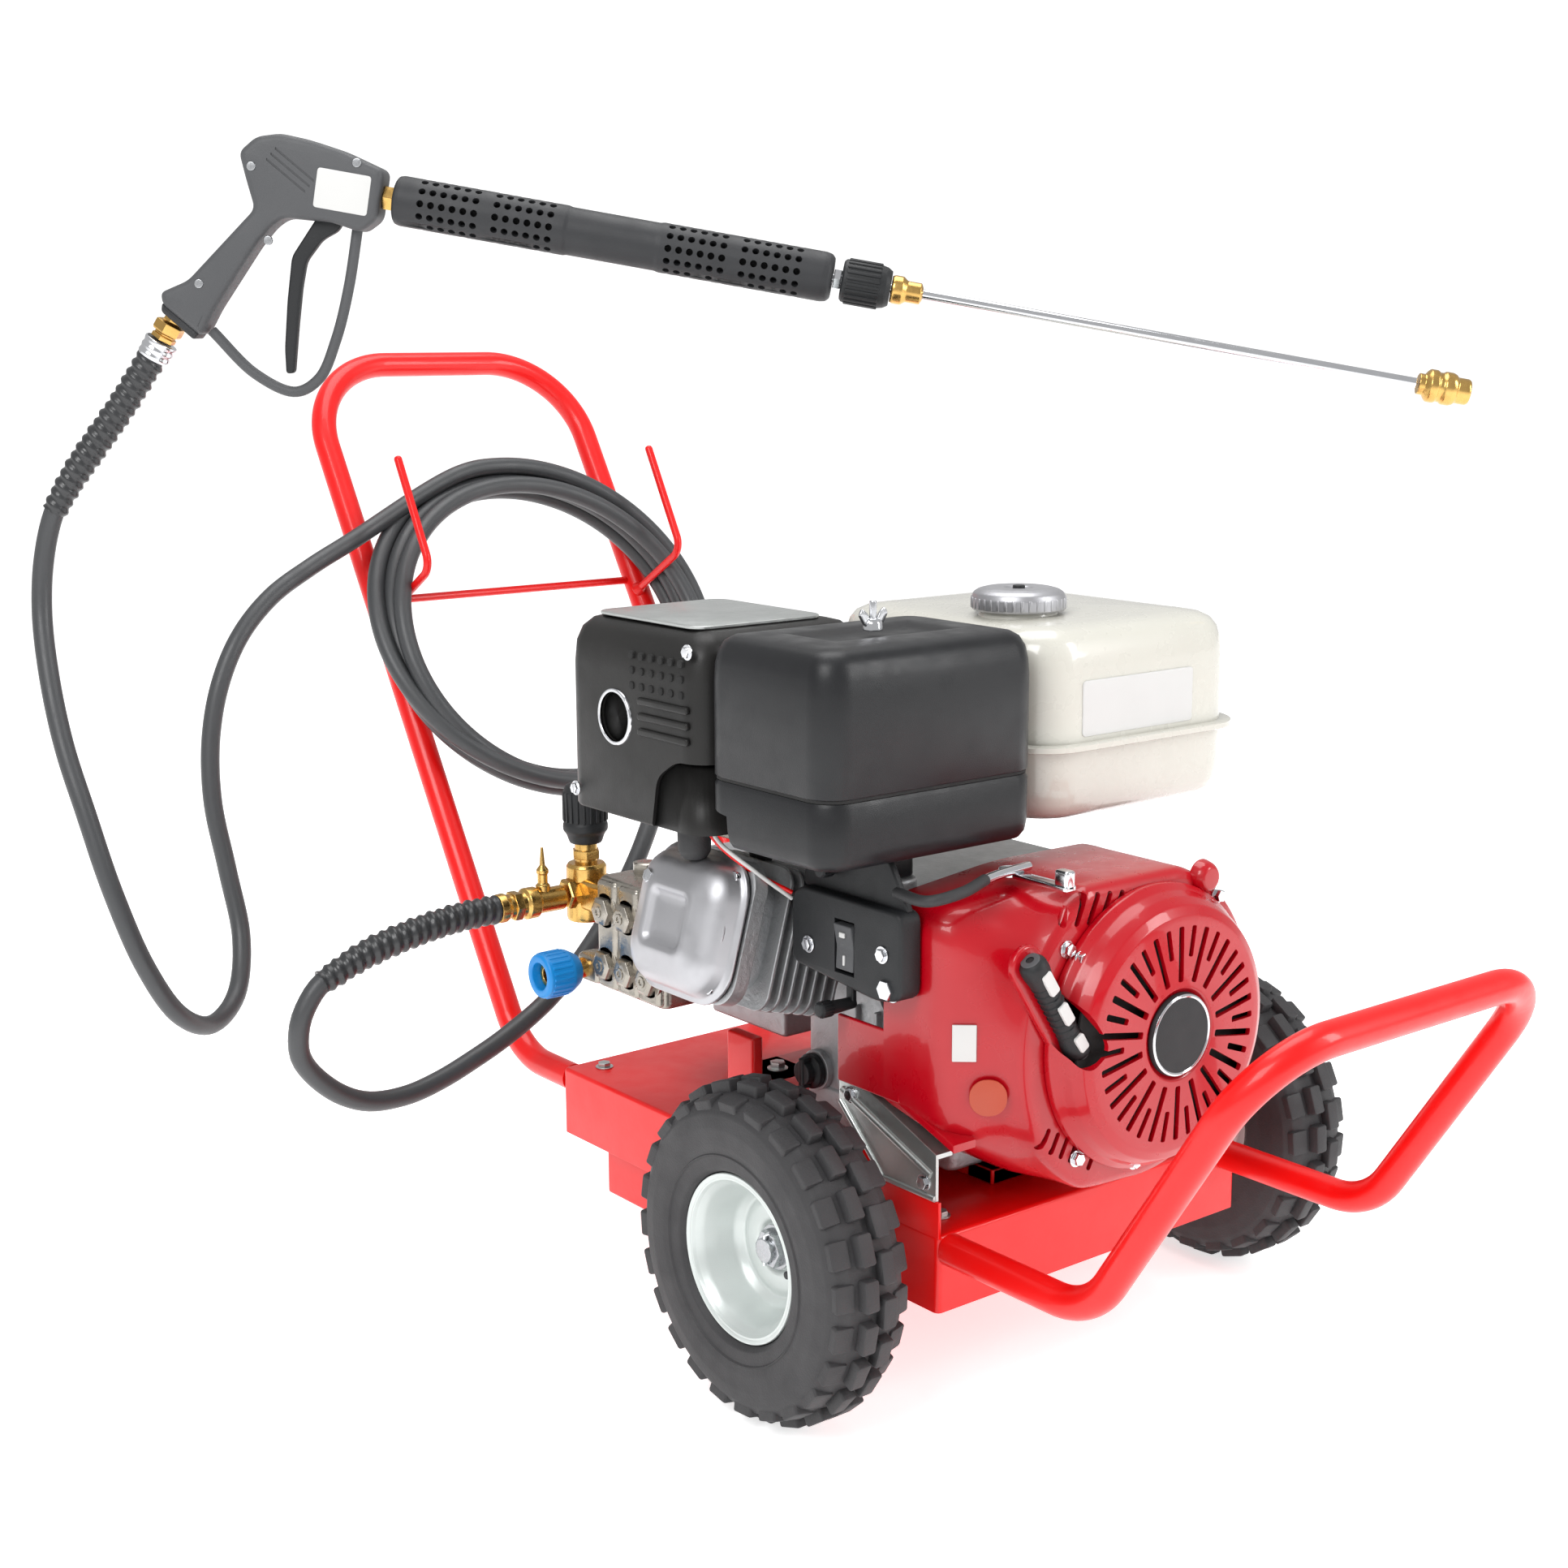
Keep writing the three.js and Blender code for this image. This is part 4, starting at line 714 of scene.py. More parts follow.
def copies_tree():
    tree = bpy.data.node_groups.new("copies", "GeometryNodeTree")
    sockets = tree.interface
    inputs = {"Geometry": "Geometry", "Count": "Int", "Turn": "Vector", "Step": "Vector",
              "Material": "Material"}
    for name, kind in inputs.items():
        sockets.new_socket(name, in_out="INPUT", socket_type="NodeSocket" + kind)
    sockets.new_socket("Geometry", in_out="OUTPUT", socket_type="NodeSocketGeometry")
    nodes, link = tree.nodes, tree.links.new
    given = nodes.new("NodeGroupInput")
    result = nodes.new("NodeGroupOutput")
    index = nodes.new("GeometryNodeInputIndex")
    turn = nodes.new("ShaderNodeVectorMath")
    step = nodes.new("ShaderNodeVectorMath")
    spots = nodes.new("GeometryNodePoints")
    place = nodes.new("GeometryNodeInstanceOnPoints")
    real = nodes.new("GeometryNodeRealizeInstances")
    paint = nodes.new("GeometryNodeSetMaterial")
    for node, source in ((turn, "Turn"), (step, "Step")):
        node.operation = "SCALE"
        link(given.outputs[source], node.inputs[0])
        link(index.outputs[0], node.inputs["Scale"])
    link(given.outputs["Count"], spots.inputs["Count"])
    link(step.outputs[0], spots.inputs["Position"])
    link(spots.outputs[0], place.inputs["Points"])
    link(given.outputs["Geometry"], place.inputs["Instance"])
    link(turn.outputs[0], place.inputs["Rotation"])
    link(place.outputs[0], real.inputs[0])
    link(real.outputs[0], paint.inputs["Geometry"])
    link(given.outputs["Material"], paint.inputs["Material"])
    link(paint.outputs[0], result.inputs[0])
    return tree


COPIES = copies_tree()


def copies(shape, count, turn=(0, 0, 0), step=(0, 0, 0)):
    """The shape repeated: each copy is turned and moved once more than the one before it."""
    mesh = bpy.data.meshes.new("one")
    mesh.from_pydata([tuple(p) for p in shape[0]], [], shape[1])
    obj = bpy.data.objects.new("one", mesh)
    bpy.context.scene.collection.objects.link(obj)
    modifier = obj.modifiers.new("copies", "NODES")
    modifier.node_group = COPIES
    values = {"Count": count, "Turn": turn, "Step": step, "Material": TYRE}
    for item in COPIES.interface.items_tree:
        if item.in_out == "INPUT" and item.name in values:
            modifier[item.identifier] = values[item.name]
    obj.update_tag()
    made = bpy.data.meshes.new_from_object(obj.evaluated_get(bpy.context.evaluated_depsgraph_get()))
    result = [v.co.copy() for v in made.vertices], [list(face.vertices) for face in made.polygons]
    bpy.data.objects.remove(obj)
    bpy.data.meshes.remove(mesh)
    bpy.data.meshes.remove(made)
    return result


def ring(shape, count, axis="x"):
    """Copies of the shape all the way round an axis through the middle."""
    angle = 2 * math.pi / count
    return copies(shape, count, turn={"x": (angle, 0, 0), "y": (0, angle, 0), "z": (0, 0, angle)}[axis])


def loft(levels, x0, x1, y0, y1, corner):
    """Rounded outlines stacked on each other: every level is (inset, height)."""
    rings = []
    for inset, height in levels:
        outline = round_rect(x0 + inset, x1 - inset, y0 + inset, y1 - inset, corner - inset * 0.7, 8)
        rings.append([(x, y, height) for x, y in outline])
    return rings_to_shape(rings)


def side_slab(outline, x0, x1, bevel=1.0):
    """An outline of (y, z) points made solid from x0 to x1."""
    return moved(slab(outline, -x1, x1 - x0, bevel), spin(90, "Z"))


def bolt(axis, at, radius=6, height=5, out=1):
    """A hexagon head on a round washer, pointing along +axis or, with out = -1, along -axis."""
    washer = turned([(0, 0), (radius * 1.35, 0), (radius * 1.35, out * 1.4), (0, out * 1.4)], axis, at,
        32, 0.4)
    head = turned([(0, out), (radius, out), (radius, out * height), (0, out * height)], axis, at, 6, 0.7)
    return merge(washer, head)


print("the tree that repeats shapes has", len(COPIES.nodes), "nodes")


# %% [markdown]
# ## Wheels
# Each wheel is one tyre with staggered tread blocks and one dished rim.

# %% Tyres and rims
def tread_block(x0, x1, half, low, high, start):
    block = soft_box(x0, x1, -half, half, low, high, 2.4, 1.6, 0.3, steps=2)
    return moved(block, Matrix.Rotation(start, 4, "X"))


def tyre_shape():
    side = [(66.4, 29), (70, 34), (78, 35), (88, 36.8), (101, 37), (112, 35), (119, 30), (123, 22),
        (124.5, 10)]
    far = [(r, -a) for r, a in reversed(side)]
    inner = [(66.4, -21), (116, -19), (116, 19), (66.4, 21)]
    body = turned(side + far + inner, "x", sides=120, soft=1.5)
    pitch = 2 * math.pi / 24
    blocks = []
    for sign in (-1, 1):
        blocks.append(ring(tread_block(sign * 8.5 - 6.5, sign * 8.5 + 6.5, 12, 120, 132.7,
            pitch * 0.25 * sign), 24))
        low, high = sorted((sign * 17.5, sign * 33.5))
        shoulder = tread_block(low, high, 10.5, 108, 129, pitch * (0.5 - 0.25 * sign))
        lean = offset(0, 0, 120) @ spin(12 * sign, "Y")
        shoulder = moved(shoulder, lean @ offset(0, 0, -120))
        blocks.append(ring(shoulder, 24))
    rib = turned([(79, 34.5), (81, 36.9), (83, 34.5)], "x", sides=120, soft=0.4)
    return merge(body, rib, *blocks)


def rim_shape():
    profile = [
        (9.8, -7), (16, -7), (18, -10), (22, -6), (34, -5.5), (40, -8), (46, -2), (51, 12), (55, 22),
        (60, 28.5), (65.6, 31), (66, 27), (58, 22), (54, 14), (54, -15), (65.6, -25), (65.6, -31),
        (51, -18), (45, -11), (17.5, -15), (17.5, -33.8), (9.8, -33.8),
    ]
    seam = turned([(58.6, 26.6), (60.5, 29.6), (62.4, 29.4)], "x", sides=96, soft=0.5)
    return merge(turned(profile, "x", sides=96, soft=2.2), seam)


def valve_shape():
    stem = rod("x", (-2, 47, 0), 3.6, 10, 3.0)
    cap = rod("x", (7, 47, 0), 3.4, 14, 3.0, sides=12)
    return merge(stem, cap)


for side, name in ((-1, "left"), (1, "right")):
    place = offset(side * TRACK / 2, 0, WHEEL_R)
    if side < 0:
        place = place @ Matrix.Rotation(math.pi, 4, "Z")
    body = "wheel_" + name
    piece("tyre_tread_" + name, tyre_shape(), TYRE, body, place, ["tyre_" + name])
    piece("rim_pressing_" + name, rim_shape(), RIM_WHITE, body, place, ["rim_" + name])
    piece("tyre_valve_" + name, valve_shape(), TRIM_BLACK, body, place)
    nut = turned([(9.8, -6.4), (15, -6.4), (15, 2), (9.8, 2)], "x", sides=6, soft=1.2)
    washer = turned([(9.8, -6.8), (17.5, -6.8), (17.5, -5.2), (9.8, -5.2)], "x", sides=48, soft=0.3)
    piece("wheel_nut_" + name, merge(nut, washer), STEEL, place=place, nodes=["axle_nut_" + name])
    pin = sweep([Vector((4.2, 0, -12)), Vector((4.2, 0, 0)), Vector((4.2, 0, 12)), Vector((1.5, 3, 14))],
        1.5, 12)
    piece("split_pin_" + name, pin, CHROME, place=place)
axle_end = TRACK / 2 + 6
axle = turned(
    [(0, -axle_end), (9.5, -axle_end), (9.5, -217.7), (14.5, -217.7), (14.5, -169.3), (9.5, -169.3),
     (9.5, 169.3), (14.5, 169.3), (14.5, 217.7), (9.5, 217.7), (9.5, axle_end), (0, axle_end)],
    "x", (0, 0, WHEEL_R), 48, 1.0,
)
piece("axle_bar", axle, STEEL, nodes=["axle"])

# %% [markdown]
# ## Trolley
# Bent red tube, a folded deck with its box stand, and the galvanised stay.

# %% Tubes
def round_ended(points, radius, sides=28):
    line = evenly(points, 1.5)
    total = path_length(line)

    def radius_at(distance, angle):
        edge = min(distance, total - distance, radius)
        return max(math.sqrt(radius ** 2 - (radius - edge) ** 2), 0.2)

    return sweep(line, radius, sides, radius_at)


handle_corners = [
    (-HALF_FRAME, HANDLE_END_Y, TUBE_Z), on_handle(-HALF_FRAME, 0, 0),
    on_handle(-HALF_FRAME, HANDLE_LENGTH, 0), on_handle(HALF_FRAME, HANDLE_LENGTH, 0),
    on_handle(HALF_FRAME, 0, 0), (HALF_FRAME, HANDLE_END_Y, TUBE_Z),
]
piece("handle_tube", sweep(bent_path(handle_corners, HANDLE_BENDS, 5), TUBE_R, 36), FRAME_RED,
      nodes=["push_handle"], smooth=50)
loop_corners = [
    (-HALF_FRAME, LOOP_END_Y, TUBE_Z), (-HALF_FRAME, LOOP_FOOT_Y, TUBE_Z),
    (-HALF_FRAME, LOOP_TIP_Y, TUBE_Z + LOOP_RISE), (HALF_FRAME, LOOP_TIP_Y, TUBE_Z + LOOP_RISE),
    (HALF_FRAME, LOOP_FOOT_Y, TUBE_Z), (HALF_FRAME, LOOP_END_Y, TUBE_Z),
]
piece("loop_tube", sweep(bent_path(loop_corners, LOOP_BENDS, 4), TUBE_R, 36), FRAME_RED,
      nodes=["front_loop"], smooth=50)
rod_end = HALF_FRAME - TUBE_R
piece("hook_rod", sweep([on_handle(x, ROD_ALONG, 0) for x in (-rod_end, rod_end)], 4, 24),
      FRAME_RED, nodes=["cross_rod"])
for side, name in ((-1, "left"), (1, "right")):
    x = side * HOOK_X
    foot = on_handle(x, HOOK_ALONG, TUBE_R)
    corners = [foot, on_handle(x, HOOK_ALONG, 104), on_handle(x, 587, 110)]
    piece("coil_hook_" + name, round_ended(bent_path(corners, [16], 2), 4), FRAME_RED,
          nodes=["hose_hook_" + name], smooth=50)
    weld = turned([(4, -3), (8, -3), (5, 4), (4, 6)], "z", sides=28, soft=1)
    lean = Matrix.Translation(foot) @ Matrix.Rotation(math.pi / 2 - HANDLE_LEAN, 4, "X")
    piece("hook_weld_" + name, moved(weld, lean), FRAME_RED, smooth=60)

# %% [markdown]
# ## Deck and stand
# The deck is a folded sheet, open below. The box stand under it has two rubber feet.

# %% Deck and stand
deck_shell = soft_box(-169, 169, -100, 415, 90.5, DECK_TOP, 5, 3.5, 0.4)
deck = piece("deck_panel", deck_shell, FRAME_RED, nodes=["deck"])
deck_room = soft_box(-166, 166, -97, 412, 80, DECK_TOP - 3, 3, 2)
carve(deck, [deck_room, rod("x", (-180, 0, WHEEL_R), 9.9, 360)])
ledge = side_slab([(-100, DECK_TOP - 2), (-33, DECK_TOP - 2), (-33, DECK_TOP + 27),
    (-100, DECK_TOP + 27)], -169, -166)
piece("deck_ledge", ledge, FRAME_RED)
deck_screws = [bolt("z", (x, y, DECK_TOP), 6) for x in (-140, 140) for y in (-70, 200, 390)]
piece("deck_screws", merge(*deck_screws), GALVANISED)
stand_top = DECK_TOP - 3.3
stand = piece("stand_shell", soft_box(-148, 148, 245, 377, 37, stand_top, 4, 2, 3), FRAME_RED,
    nodes=["stand_box"])
carve(stand, [soft_box(-145, 145, 248, 374, 40, stand_top + 20, 3, 2)])
for side, name in ((-1, "left"), (1, "right")):
    foot = turned([(0, 0), (21, 0), (24, 3), (24, 9), (22, 12), (24, 15), (22, 36.7), (0, 36.7)], "z",
                  (side * 105, 318, 0), 64, 1.2)
    piece("foot_" + name, foot, RUBBER, nodes=["rubber_foot_" + name])

# %% [markdown]
# ## Engine base and stay
# Flat rails carry the engine, and a pressed stay ties its side to the ledge of the deck.

# %% Engine base and stay
rails = [soft_box(x0, x1, -50, 285, -144.7, -132.3, 2, 1) for x0, x1 in ((-66, -20), (46, 92))]
ties = [soft_box(-66, 92, y0, y1, -144.7, -132.3, 2, 1) for y0, y1 in ((-50, -20), (228, 285))]
base_bolts = [bolt("z", (x, y, -132), 7, 7) for x in (-43, 69) for y in (-38, 255)]
piece("base_rails", merge(*rails, *ties), FRAME_RED, place=ENGINE, nodes=["engine_base"])
piece("base_bolts", merge(*base_bolts), GALVANISED, place=ENGINE)
stay_side = side_slab([(-97, -117.7), (-97, -81), (17, -38), (17, -68), (-33, -117.7)], -169, -166, 1.2)
stay_lip = side_slab([(-97, -81), (17, -38), (17, -41.5), (-97, -84.5)], -168, -152, 1.2)
stay_bead = sweep([Vector((-168.5, -96, -116)), Vector((-168.5, -36, -116)), Vector((-168.5, 15, -68))],
    2.6, 20)
stay_rib = sweep([Vector((-168.8, -92, -98)), Vector((-168.8, 12, -58))], 3.2, 20)
piece("stay_pressing", merge(stay_side, stay_lip, stay_bead, stay_rib), GALVANISED, place=ENGINE,
      nodes=["engine_stay"])
stay_bolts = [bolt("x", (-169, y, z), 5, 4, -1) for y, z in ((-84, -106), (2, -60))]
piece("stay_bolts", merge(*stay_bolts), CHROME, place=ENGINE)

# %% [markdown]
# ## Engine
# Castings first, then the shroud with its starter, and the boxes round the top.

# %% Crankcase and cylinder
case_parts = [
    soft_box(-95, 118, -40, 160, -118, 84, 26, 14),
    soft_box(-97, 114, -34, 148, -132, -100, 8, 4),
    turned([(34, -70), (30, -72), (14, -72), (14, -38), (36, -38)], "y"),
    turned([(14, 150), (80, 150), (80, 156), (70, 160), (66, 168), (14, 168)], "y", sides=96),
    rod("x", (-101, 130, -88), 17, 24), rod("x", (-104, 20, -40), 9, 14), rod("x", (-100, 75, -96), 11, 10),
    copies(soft_box(-100, -90, 0, 4, -112, -20, 1.5, 1.5), 4, step=(0, 26, 0)),
]
piece("crankcase_casting", merge(*case_parts), CAST, place=ENGINE, nodes=["crankcase"])
case_bolts = [bolt("x", (-101, y, z), 5.5, 5, -1) for y, z in ((-10, 60), (40, 62), (20, -100),
    (142, -30), (-25, -96))]
cover_bolts = ring(bolt("y", (0, 156, 74), 5, 5), 6, "y")
piece("crankcase_bolts", merge(*case_bolts, cover_bolts), CHROME, place=ENGINE)
oil_grip = turned([(0, -101.3), (15, -101.3), (15, -107), (10, -109), (10, -116), (0, -116)], "x",
    (0, 130, -88), 48)
oil_wing = soft_box(-117, -104, 126.5, 133.5, -101, -75, 2, 1.5)
piece("oil_cap_moulding", merge(oil_grip, oil_wing), BLACK_PLASTIC, "oil_cap", ENGINE, ["oil_filler_cap"])

fins = copies(loft([(0.6, 0), (0, 0.8), (0, 2.6), (0.6, 3.4)], -58, 58, -60, 60, 16), 7, step=(0, 0, 11))
barrel = loft([(0, 0), (0, 118)], -45, 45, -45, 45, 20)
head_face = loft([(1, 106), (0, 107), (0, 119.4), (1, 120)], -57, 57, -62, 62, 22)
UPON = spin(-90, "Y")
head_place = CYLINDER @ offset(-116, 0, 0) @ UPON
fins = moved(fins, offset(0, 0, 14))
piece("cylinder_casting", merge(barrel, fins, head_face), CAST, place=head_place, nodes=["cylinder_head"])

# %% [markdown]
# ## Valve cover
# A domed pressing with an embossed ring closes the end of the leaning cylinder.

# %% Valve cover
cover_place = CYLINDER @ offset(-236.3, 0, 0) @ UPON
gasket = loft([(0.4, 0), (0, 0.5), (0, 2), (0.4, 2.5)], -58, 58, -60, 60, 30)
dome_levels = [
    (0.8, 2.5), (0, 3.2), (0, 5), (1, 6), (3.5, 6.6), (5, 9), (7, 16), (10, 21), (15, 25.5), (21, 28.4),
    (27, 30.6), (31, 32.4), (34, 33.6), (37, 33.4), (39, 31.8), (41, 29.4), (44, 28.6), (50, 28.4),
]
dome = loft(dome_levels, -60, 60, -62, 62, 34)
cover_bolts = [bolt("z", (28, 36, 24), 6, 7), rod("z", (-44, -44, 5), 5, 6), rod("z", (44, -46, 5), 5, 6)]
bead_angles = [math.radians(d) for d in range(200, 342, 6)]
bead = [Vector((52 * math.cos(a), 54 * math.sin(a), 15.4)) for a in bead_angles]
piece("valve_cover_gasket", gasket, TRIM_BLACK, place=cover_place)
piece("valve_cover_pressing", merge(dome, sweep(bead, 1.6, 12)), STAMPED, place=cover_place,
    nodes=["valve_cover"], smooth=50)
piece("valve_cover_bolts", merge(*cover_bolts), CHROME, place=cover_place)

# %% [markdown]
# ## Shroud
# The shroud is round in front and widens into the outline of the block behind. Slanting vents run
# above and below the starter.

# %% Shroud
def outline_reach(outline, angle):
    """How far the outline lies from the crankshaft in one direction."""
    ray = Vector((math.sin(angle), math.cos(angle)))
    best = 0.0
    for a, b in zip(outline, outline[1:] + outline[:1]):
        a, b = Vector(a), Vector(b)
        side = b - a
        cross = ray.x * side.y - ray.y * side.x
        if abs(cross) < 1e-9:
            continue
        t = (a.x * side.y - a.y * side.x) / cross
        u = (a.x * ray.y - a.y * ray.x) / cross
        if -1e-6 <= u <= 1 + 1e-6 and t > best:
            best = t
    return best


def shroud_shape():
    arc = [(124 * math.cos(a), 124 * math.sin(a)) for a in [math.radians(d) for d in range(-90, 76, 6)]]
    back = arc + [(-60, 119), (-162, 108), (-174, 94), (-174, -64), (-95, -112), (-60, -121)]
    back = filleted(back, 22, closed=True, steps=4)
    count = 168
    angles = [2 * math.pi * i / count for i in range(count)]
    far = [outline_reach(back, a) for a in angles]
    near = [min(r, 136) for r in far]
    profile = [(0, -146, 1), (0, -150, 1), (-9, -150, 1), (-4, -148.6, 1), (-1, -145, 1), (0, -140, 0.96),
               (0, -132, 0.8), (0, -122, 0.5), (0, -112, 0.2), (0, -102, 0.04), (0, -92, 0), (0, -60, 0),
               (0.3, -52, 0), (0, -42, 0), (-4, -42, 0), (-4, -104, 0.06),
               (-4, -122, 0.5), (-4, -140, 0.96), (-9, -146, 1)]
    rings = []
    for k, (extra, y, front) in enumerate(profile):
        row = []
        for a, r_far, r_near in zip(angles, far, near):
            r = 100.0 if k < 2 else r_far * (1 - front) + r_near * front + extra
            row.append((r * math.sin(a), y, r * math.cos(a)))
        rings.append(row)
    return rings_to_shape(rings, looped=True)


shroud = piece("shroud_pressing", shroud_shape(), ENGINE_RED, place=ENGINE, nodes=["fan_shroud"], smooth=48)
vent = soft_box(-2.6, 2.6, -8, 8, -13, 13, 2.5, 2.4)
rows = []
for i in range(7):
    lean = offset(-88 + i * 13, -150, 104 - i * 1.2) @ spin(24, "Y")
    rows.append(moved(vent, lean))
low_vent = soft_box(-2.4, 2.4, -8, 8, -9, 9, 2.3, 2.2)
for i in range(6):
    lean = offset(-108 + i * 10, -150, -68 - i * 5.4) @ spin(28, "Y")
    rows.append(moved(low_vent, lean))
foot_cut = side_slab([(-170, -150), (17, -150), (17, -32), (-170, -90)], -180, -150, 0.2)
carve(shroud, [*rows, foot_cut], ENGINE, 48)
wing = soft_box(-174, -170, -60, 13, -50, 4, 1.8, 1.5)
skirt = side_slab([(-120, -72), (13, -28), (13, -22), (-120, -66)], -173, -150, 1)
piece("shroud_wing", merge(wing, skirt), ENGINE_RED, place=ENGINE)
lug = turned([(0, -158), (9, -158), (12, -154), (14, -146), (0, -146)], "y", (60, 0, 107), 48, 1.5)
piece("shroud_lug", lug, ENGINE_RED, place=ENGINE)
corner_turn = spin(-41, "Z")
label = soft_box(-9, 9, -0.9, 0.9, -14, 14, 0.8, 0.4)
piece("side_label", moved(label, offset(-161.5, -118, 10) @ corner_turn), LABEL, place=ENGINE)
sticker = slab(round_rect(-14, 14, -14, 14, 13, 8), -0.9, 1.8, 0.4)
piece("side_sticker", moved(sticker, offset(-149.5, -131.5, -31) @ corner_turn), ORANGE,
    place=ENGINE)
shroud_bolts = ring(bolt("y", (0, -150, 117.5), 5, 6, -1), 4, "y")
piece("shroud_bolts", moved(shroud_bolts, spin(40, "Y")), CHROME, place=ENGINE)

# %% [markdown]
# ## Recoil starter
# A dished cover with rings of long and short slots, a blank disc, and the grip in its hollow.

# %% Recoil starter
front = -183
shell_profile = [
    (112, -150.3), (112, -156), (107, -162), (104, front + 13), (99, front + 5), (92, front + 1.5),
    (87, front + 1), (60, front + 0.4), (36, front), (33, front + 3), (8, front + 3), (8, front + 6),
    (60, front + 4), (85, front + 5), (99, front + 14), (108, -158), (108, -150.3),
]
starter = piece("starter_dish", turned(shell_profile, "y", sides=144, soft=1.4), ENGINE_RED, place=ENGINE,
                nodes=["starter_cover"])
long_slot = soft_box(-2.8, 2.8, front - 6, front + 12, 41, 84, 2.7, 1.5, steps=3)
short_slot = soft_box(-2.5, 2.5, front - 6, front + 12, 60, 84, 2.4, 1.5, steps=3)
short_ring = moved(ring(short_slot, 18, "y"), spin(10, "Y"))
grip_turn = offset(-113, -162.5, 38) @ spin(-33, "Y")
hollow = moved(soft_box(-14, 14, -30, 30, -52, 52, 8, 10), grip_turn)
carve(starter, [ring(long_slot, 18, "y"), short_ring, hollow], ENGINE, 36)
# A near-black disc behind the slots is painted shade, so that the slots look dark inside.
slot_shade_disc = turned([(0, front + 14), (96, front + 14), (96, front + 17), (0, front + 17)], "y", sides=96)
piece("starter_slot_shade_disc", slot_shade_disc, PAINTED_RECESS_SHADE, place=ENGINE)
badge_profile = [(0, front - 2.5), (30, front - 2.5), (32, front - 1.5), (33, front + 2), (0, front + 2)]
piece("starter_disc", turned(badge_profile, "y", sides=96), TRIM_BLACK, place=ENGINE,
    nodes=["starter_badge"])
rim_line = turned([(29, front - 2.4), (30.5, front - 3.3), (32, front - 2.2)], "y", sides=96, soft=0.3)
piece("starter_disc_rim", rim_line, CHROME, place=ENGINE)
dish_bolts = moved(ring(bolt("y", (0, -156, 106.5), 4.5, 5, -1), 3, "y"),
    spin(70, "Y"))
piece("starter_bolts", dish_bolts, CHROME, place=ENGINE)
panel = slab(round_rect(-15.5, 15.5, -56, 56, 15, 8), 6, 6.6, 2)
piece("grip_seat", moved(panel, grip_turn), ENGINE_RED, place=ENGINE)
grip_profile = [(0, -48.5), (7, -48.5), (10.5, -45), (11, -38), (8.8, -24), (8.2, 0), (8.8, 24), (11, 38),
                (10.5, 45), (7, 48.5), (0, 48.5)]
grip = turned(grip_profile, "z", sides=56, soft=3)
low_rib = moved(turned([(7.6, -1), (9.6, 0), (7.6, 1)], "z", sides=48, soft=0.3), offset(0, 0, -24))
ribs = copies(low_rib, 9, step=(0, 0, 6))
piece("pull_grip", moved(merge(grip, ribs), grip_turn), TRIM_BLACK, "starter_handle", ENGINE,
    ["starter_grip"], smooth=50)
caps = [turned([(3, -49.2), (7.6, -48.9), (7, -46)], "z", sides=40, soft=0.6),
    turned([(3, 49.2), (7.6, 48.9), (7, 46)], "z", sides=40, soft=0.6)]
# Three pale strips on the grip's face are painted highlights: the lamps' sheen on the black grip, drawn in
# label grey.
highlight_ends = ((-40, -26), (-12, 6), (18, 38))
patches = [slab(round_rect(-4.5, 4.5, low, high, 2, 4), -11.4, 3, 0.5) for low, high in highlight_ends]
piece("pull_grip_painted_highlights", moved(merge(*patches), grip_turn), LABEL, "starter_handle", ENGINE)
piece("pull_grip_ends", moved(merge(*caps), grip_turn), GUN_GREY, "starter_handle", ENGINE)

# %% [markdown]
# ## Flywheel
# The crankshaft and its fan turn together inside the shroud.

# %% Flywheel
wheel_profile = [(0, -142), (28, -142), (33, -134), (34, -128), (96, -128), (96, -98), (40, -94),
    (12, -88), (12, 190), (0, 190)]
blade = soft_box(-2, 2, -142, -127, 48, 92, 1.6, 1.2)
wheel = merge(turned(wheel_profile, "y", sides=96), ring(blade, 8, "y"))
piece("flywheel_fan", wheel, CAST, "crank", ENGINE, ["crankshaft_flywheel"])

# %% [markdown]
# ## Fuel tank
# Two pressings meet in a seam. The ribbed cap turns on its neck.

# %% Fuel tank
tank_levels = [(0, 205), (0, 232), (0.4, 262), (1.6, 276), (4, 285), (9, 291.5), (17, 295.5), (30, 297.6),
               (55, 299.4), (80, 300.2), (112, 300.6)]
low_levels = [(112, 145), (24, 145), (12, 147), (5, 152), (1.5, 160), (0, 172), (0, 205)]
tank_body = loft(low_levels + tank_levels[1:], -41, 190, -70, 190, 40)
tank_seam = loft([(1.2, 202), (0, 202.8), (0, 206.8), (1.2, 207.6)], -49, 198, -78, 198, 44)
neck = turned([(22, 296), (33, 296), (31, 303), (31, 308), (22, 308)], "z", (21, 20, 0), 64)
piece("tank_pressing", merge(tank_body, tank_seam, neck), TANK_WHITE, place=ENGINE, nodes=["fuel_tank"],
    smooth=50)
tank_label = slab(rounded_line([(4, 212), (130, 212), (130, 256), (4, 256)], 4), -71, 2, 0.5)
piece("tank_label", tank_label, LABEL, place=ENGINE)
cap_place = ENGINE @ offset(21, 20, 302.3)
cap_profile = [(0, 0), (37, 0), (38, 1.5), (38, 10), (36.5, 14), (33, 16.4), (27, 18), (12, 18),
    (10, 16.5), (0, 16.5)]
knurls = ring(soft_box(36.6, 38.6, -1.5, 1.5, 1.5, 10.5, 1, 0.6, steps=2), 36, "z")
piece("tank_cap", merge(turned(cap_profile, "z", sides=96, soft=1.2), knurls), STAMPED, "fuel_filler_cap",
    cap_place, ["fuel_cap"])
piece("tank_cap_vent", turned([(0, 16), (5, 16), (5, 19.5), (0, 19.5)], "z", sides=40), TRIM_BLACK,
    "fuel_filler_cap", cap_place)

# %% [markdown]
# ## Air cleaner
# A black lid closes a tray that stands on the carburettor's neck. A wing nut holds the lid.

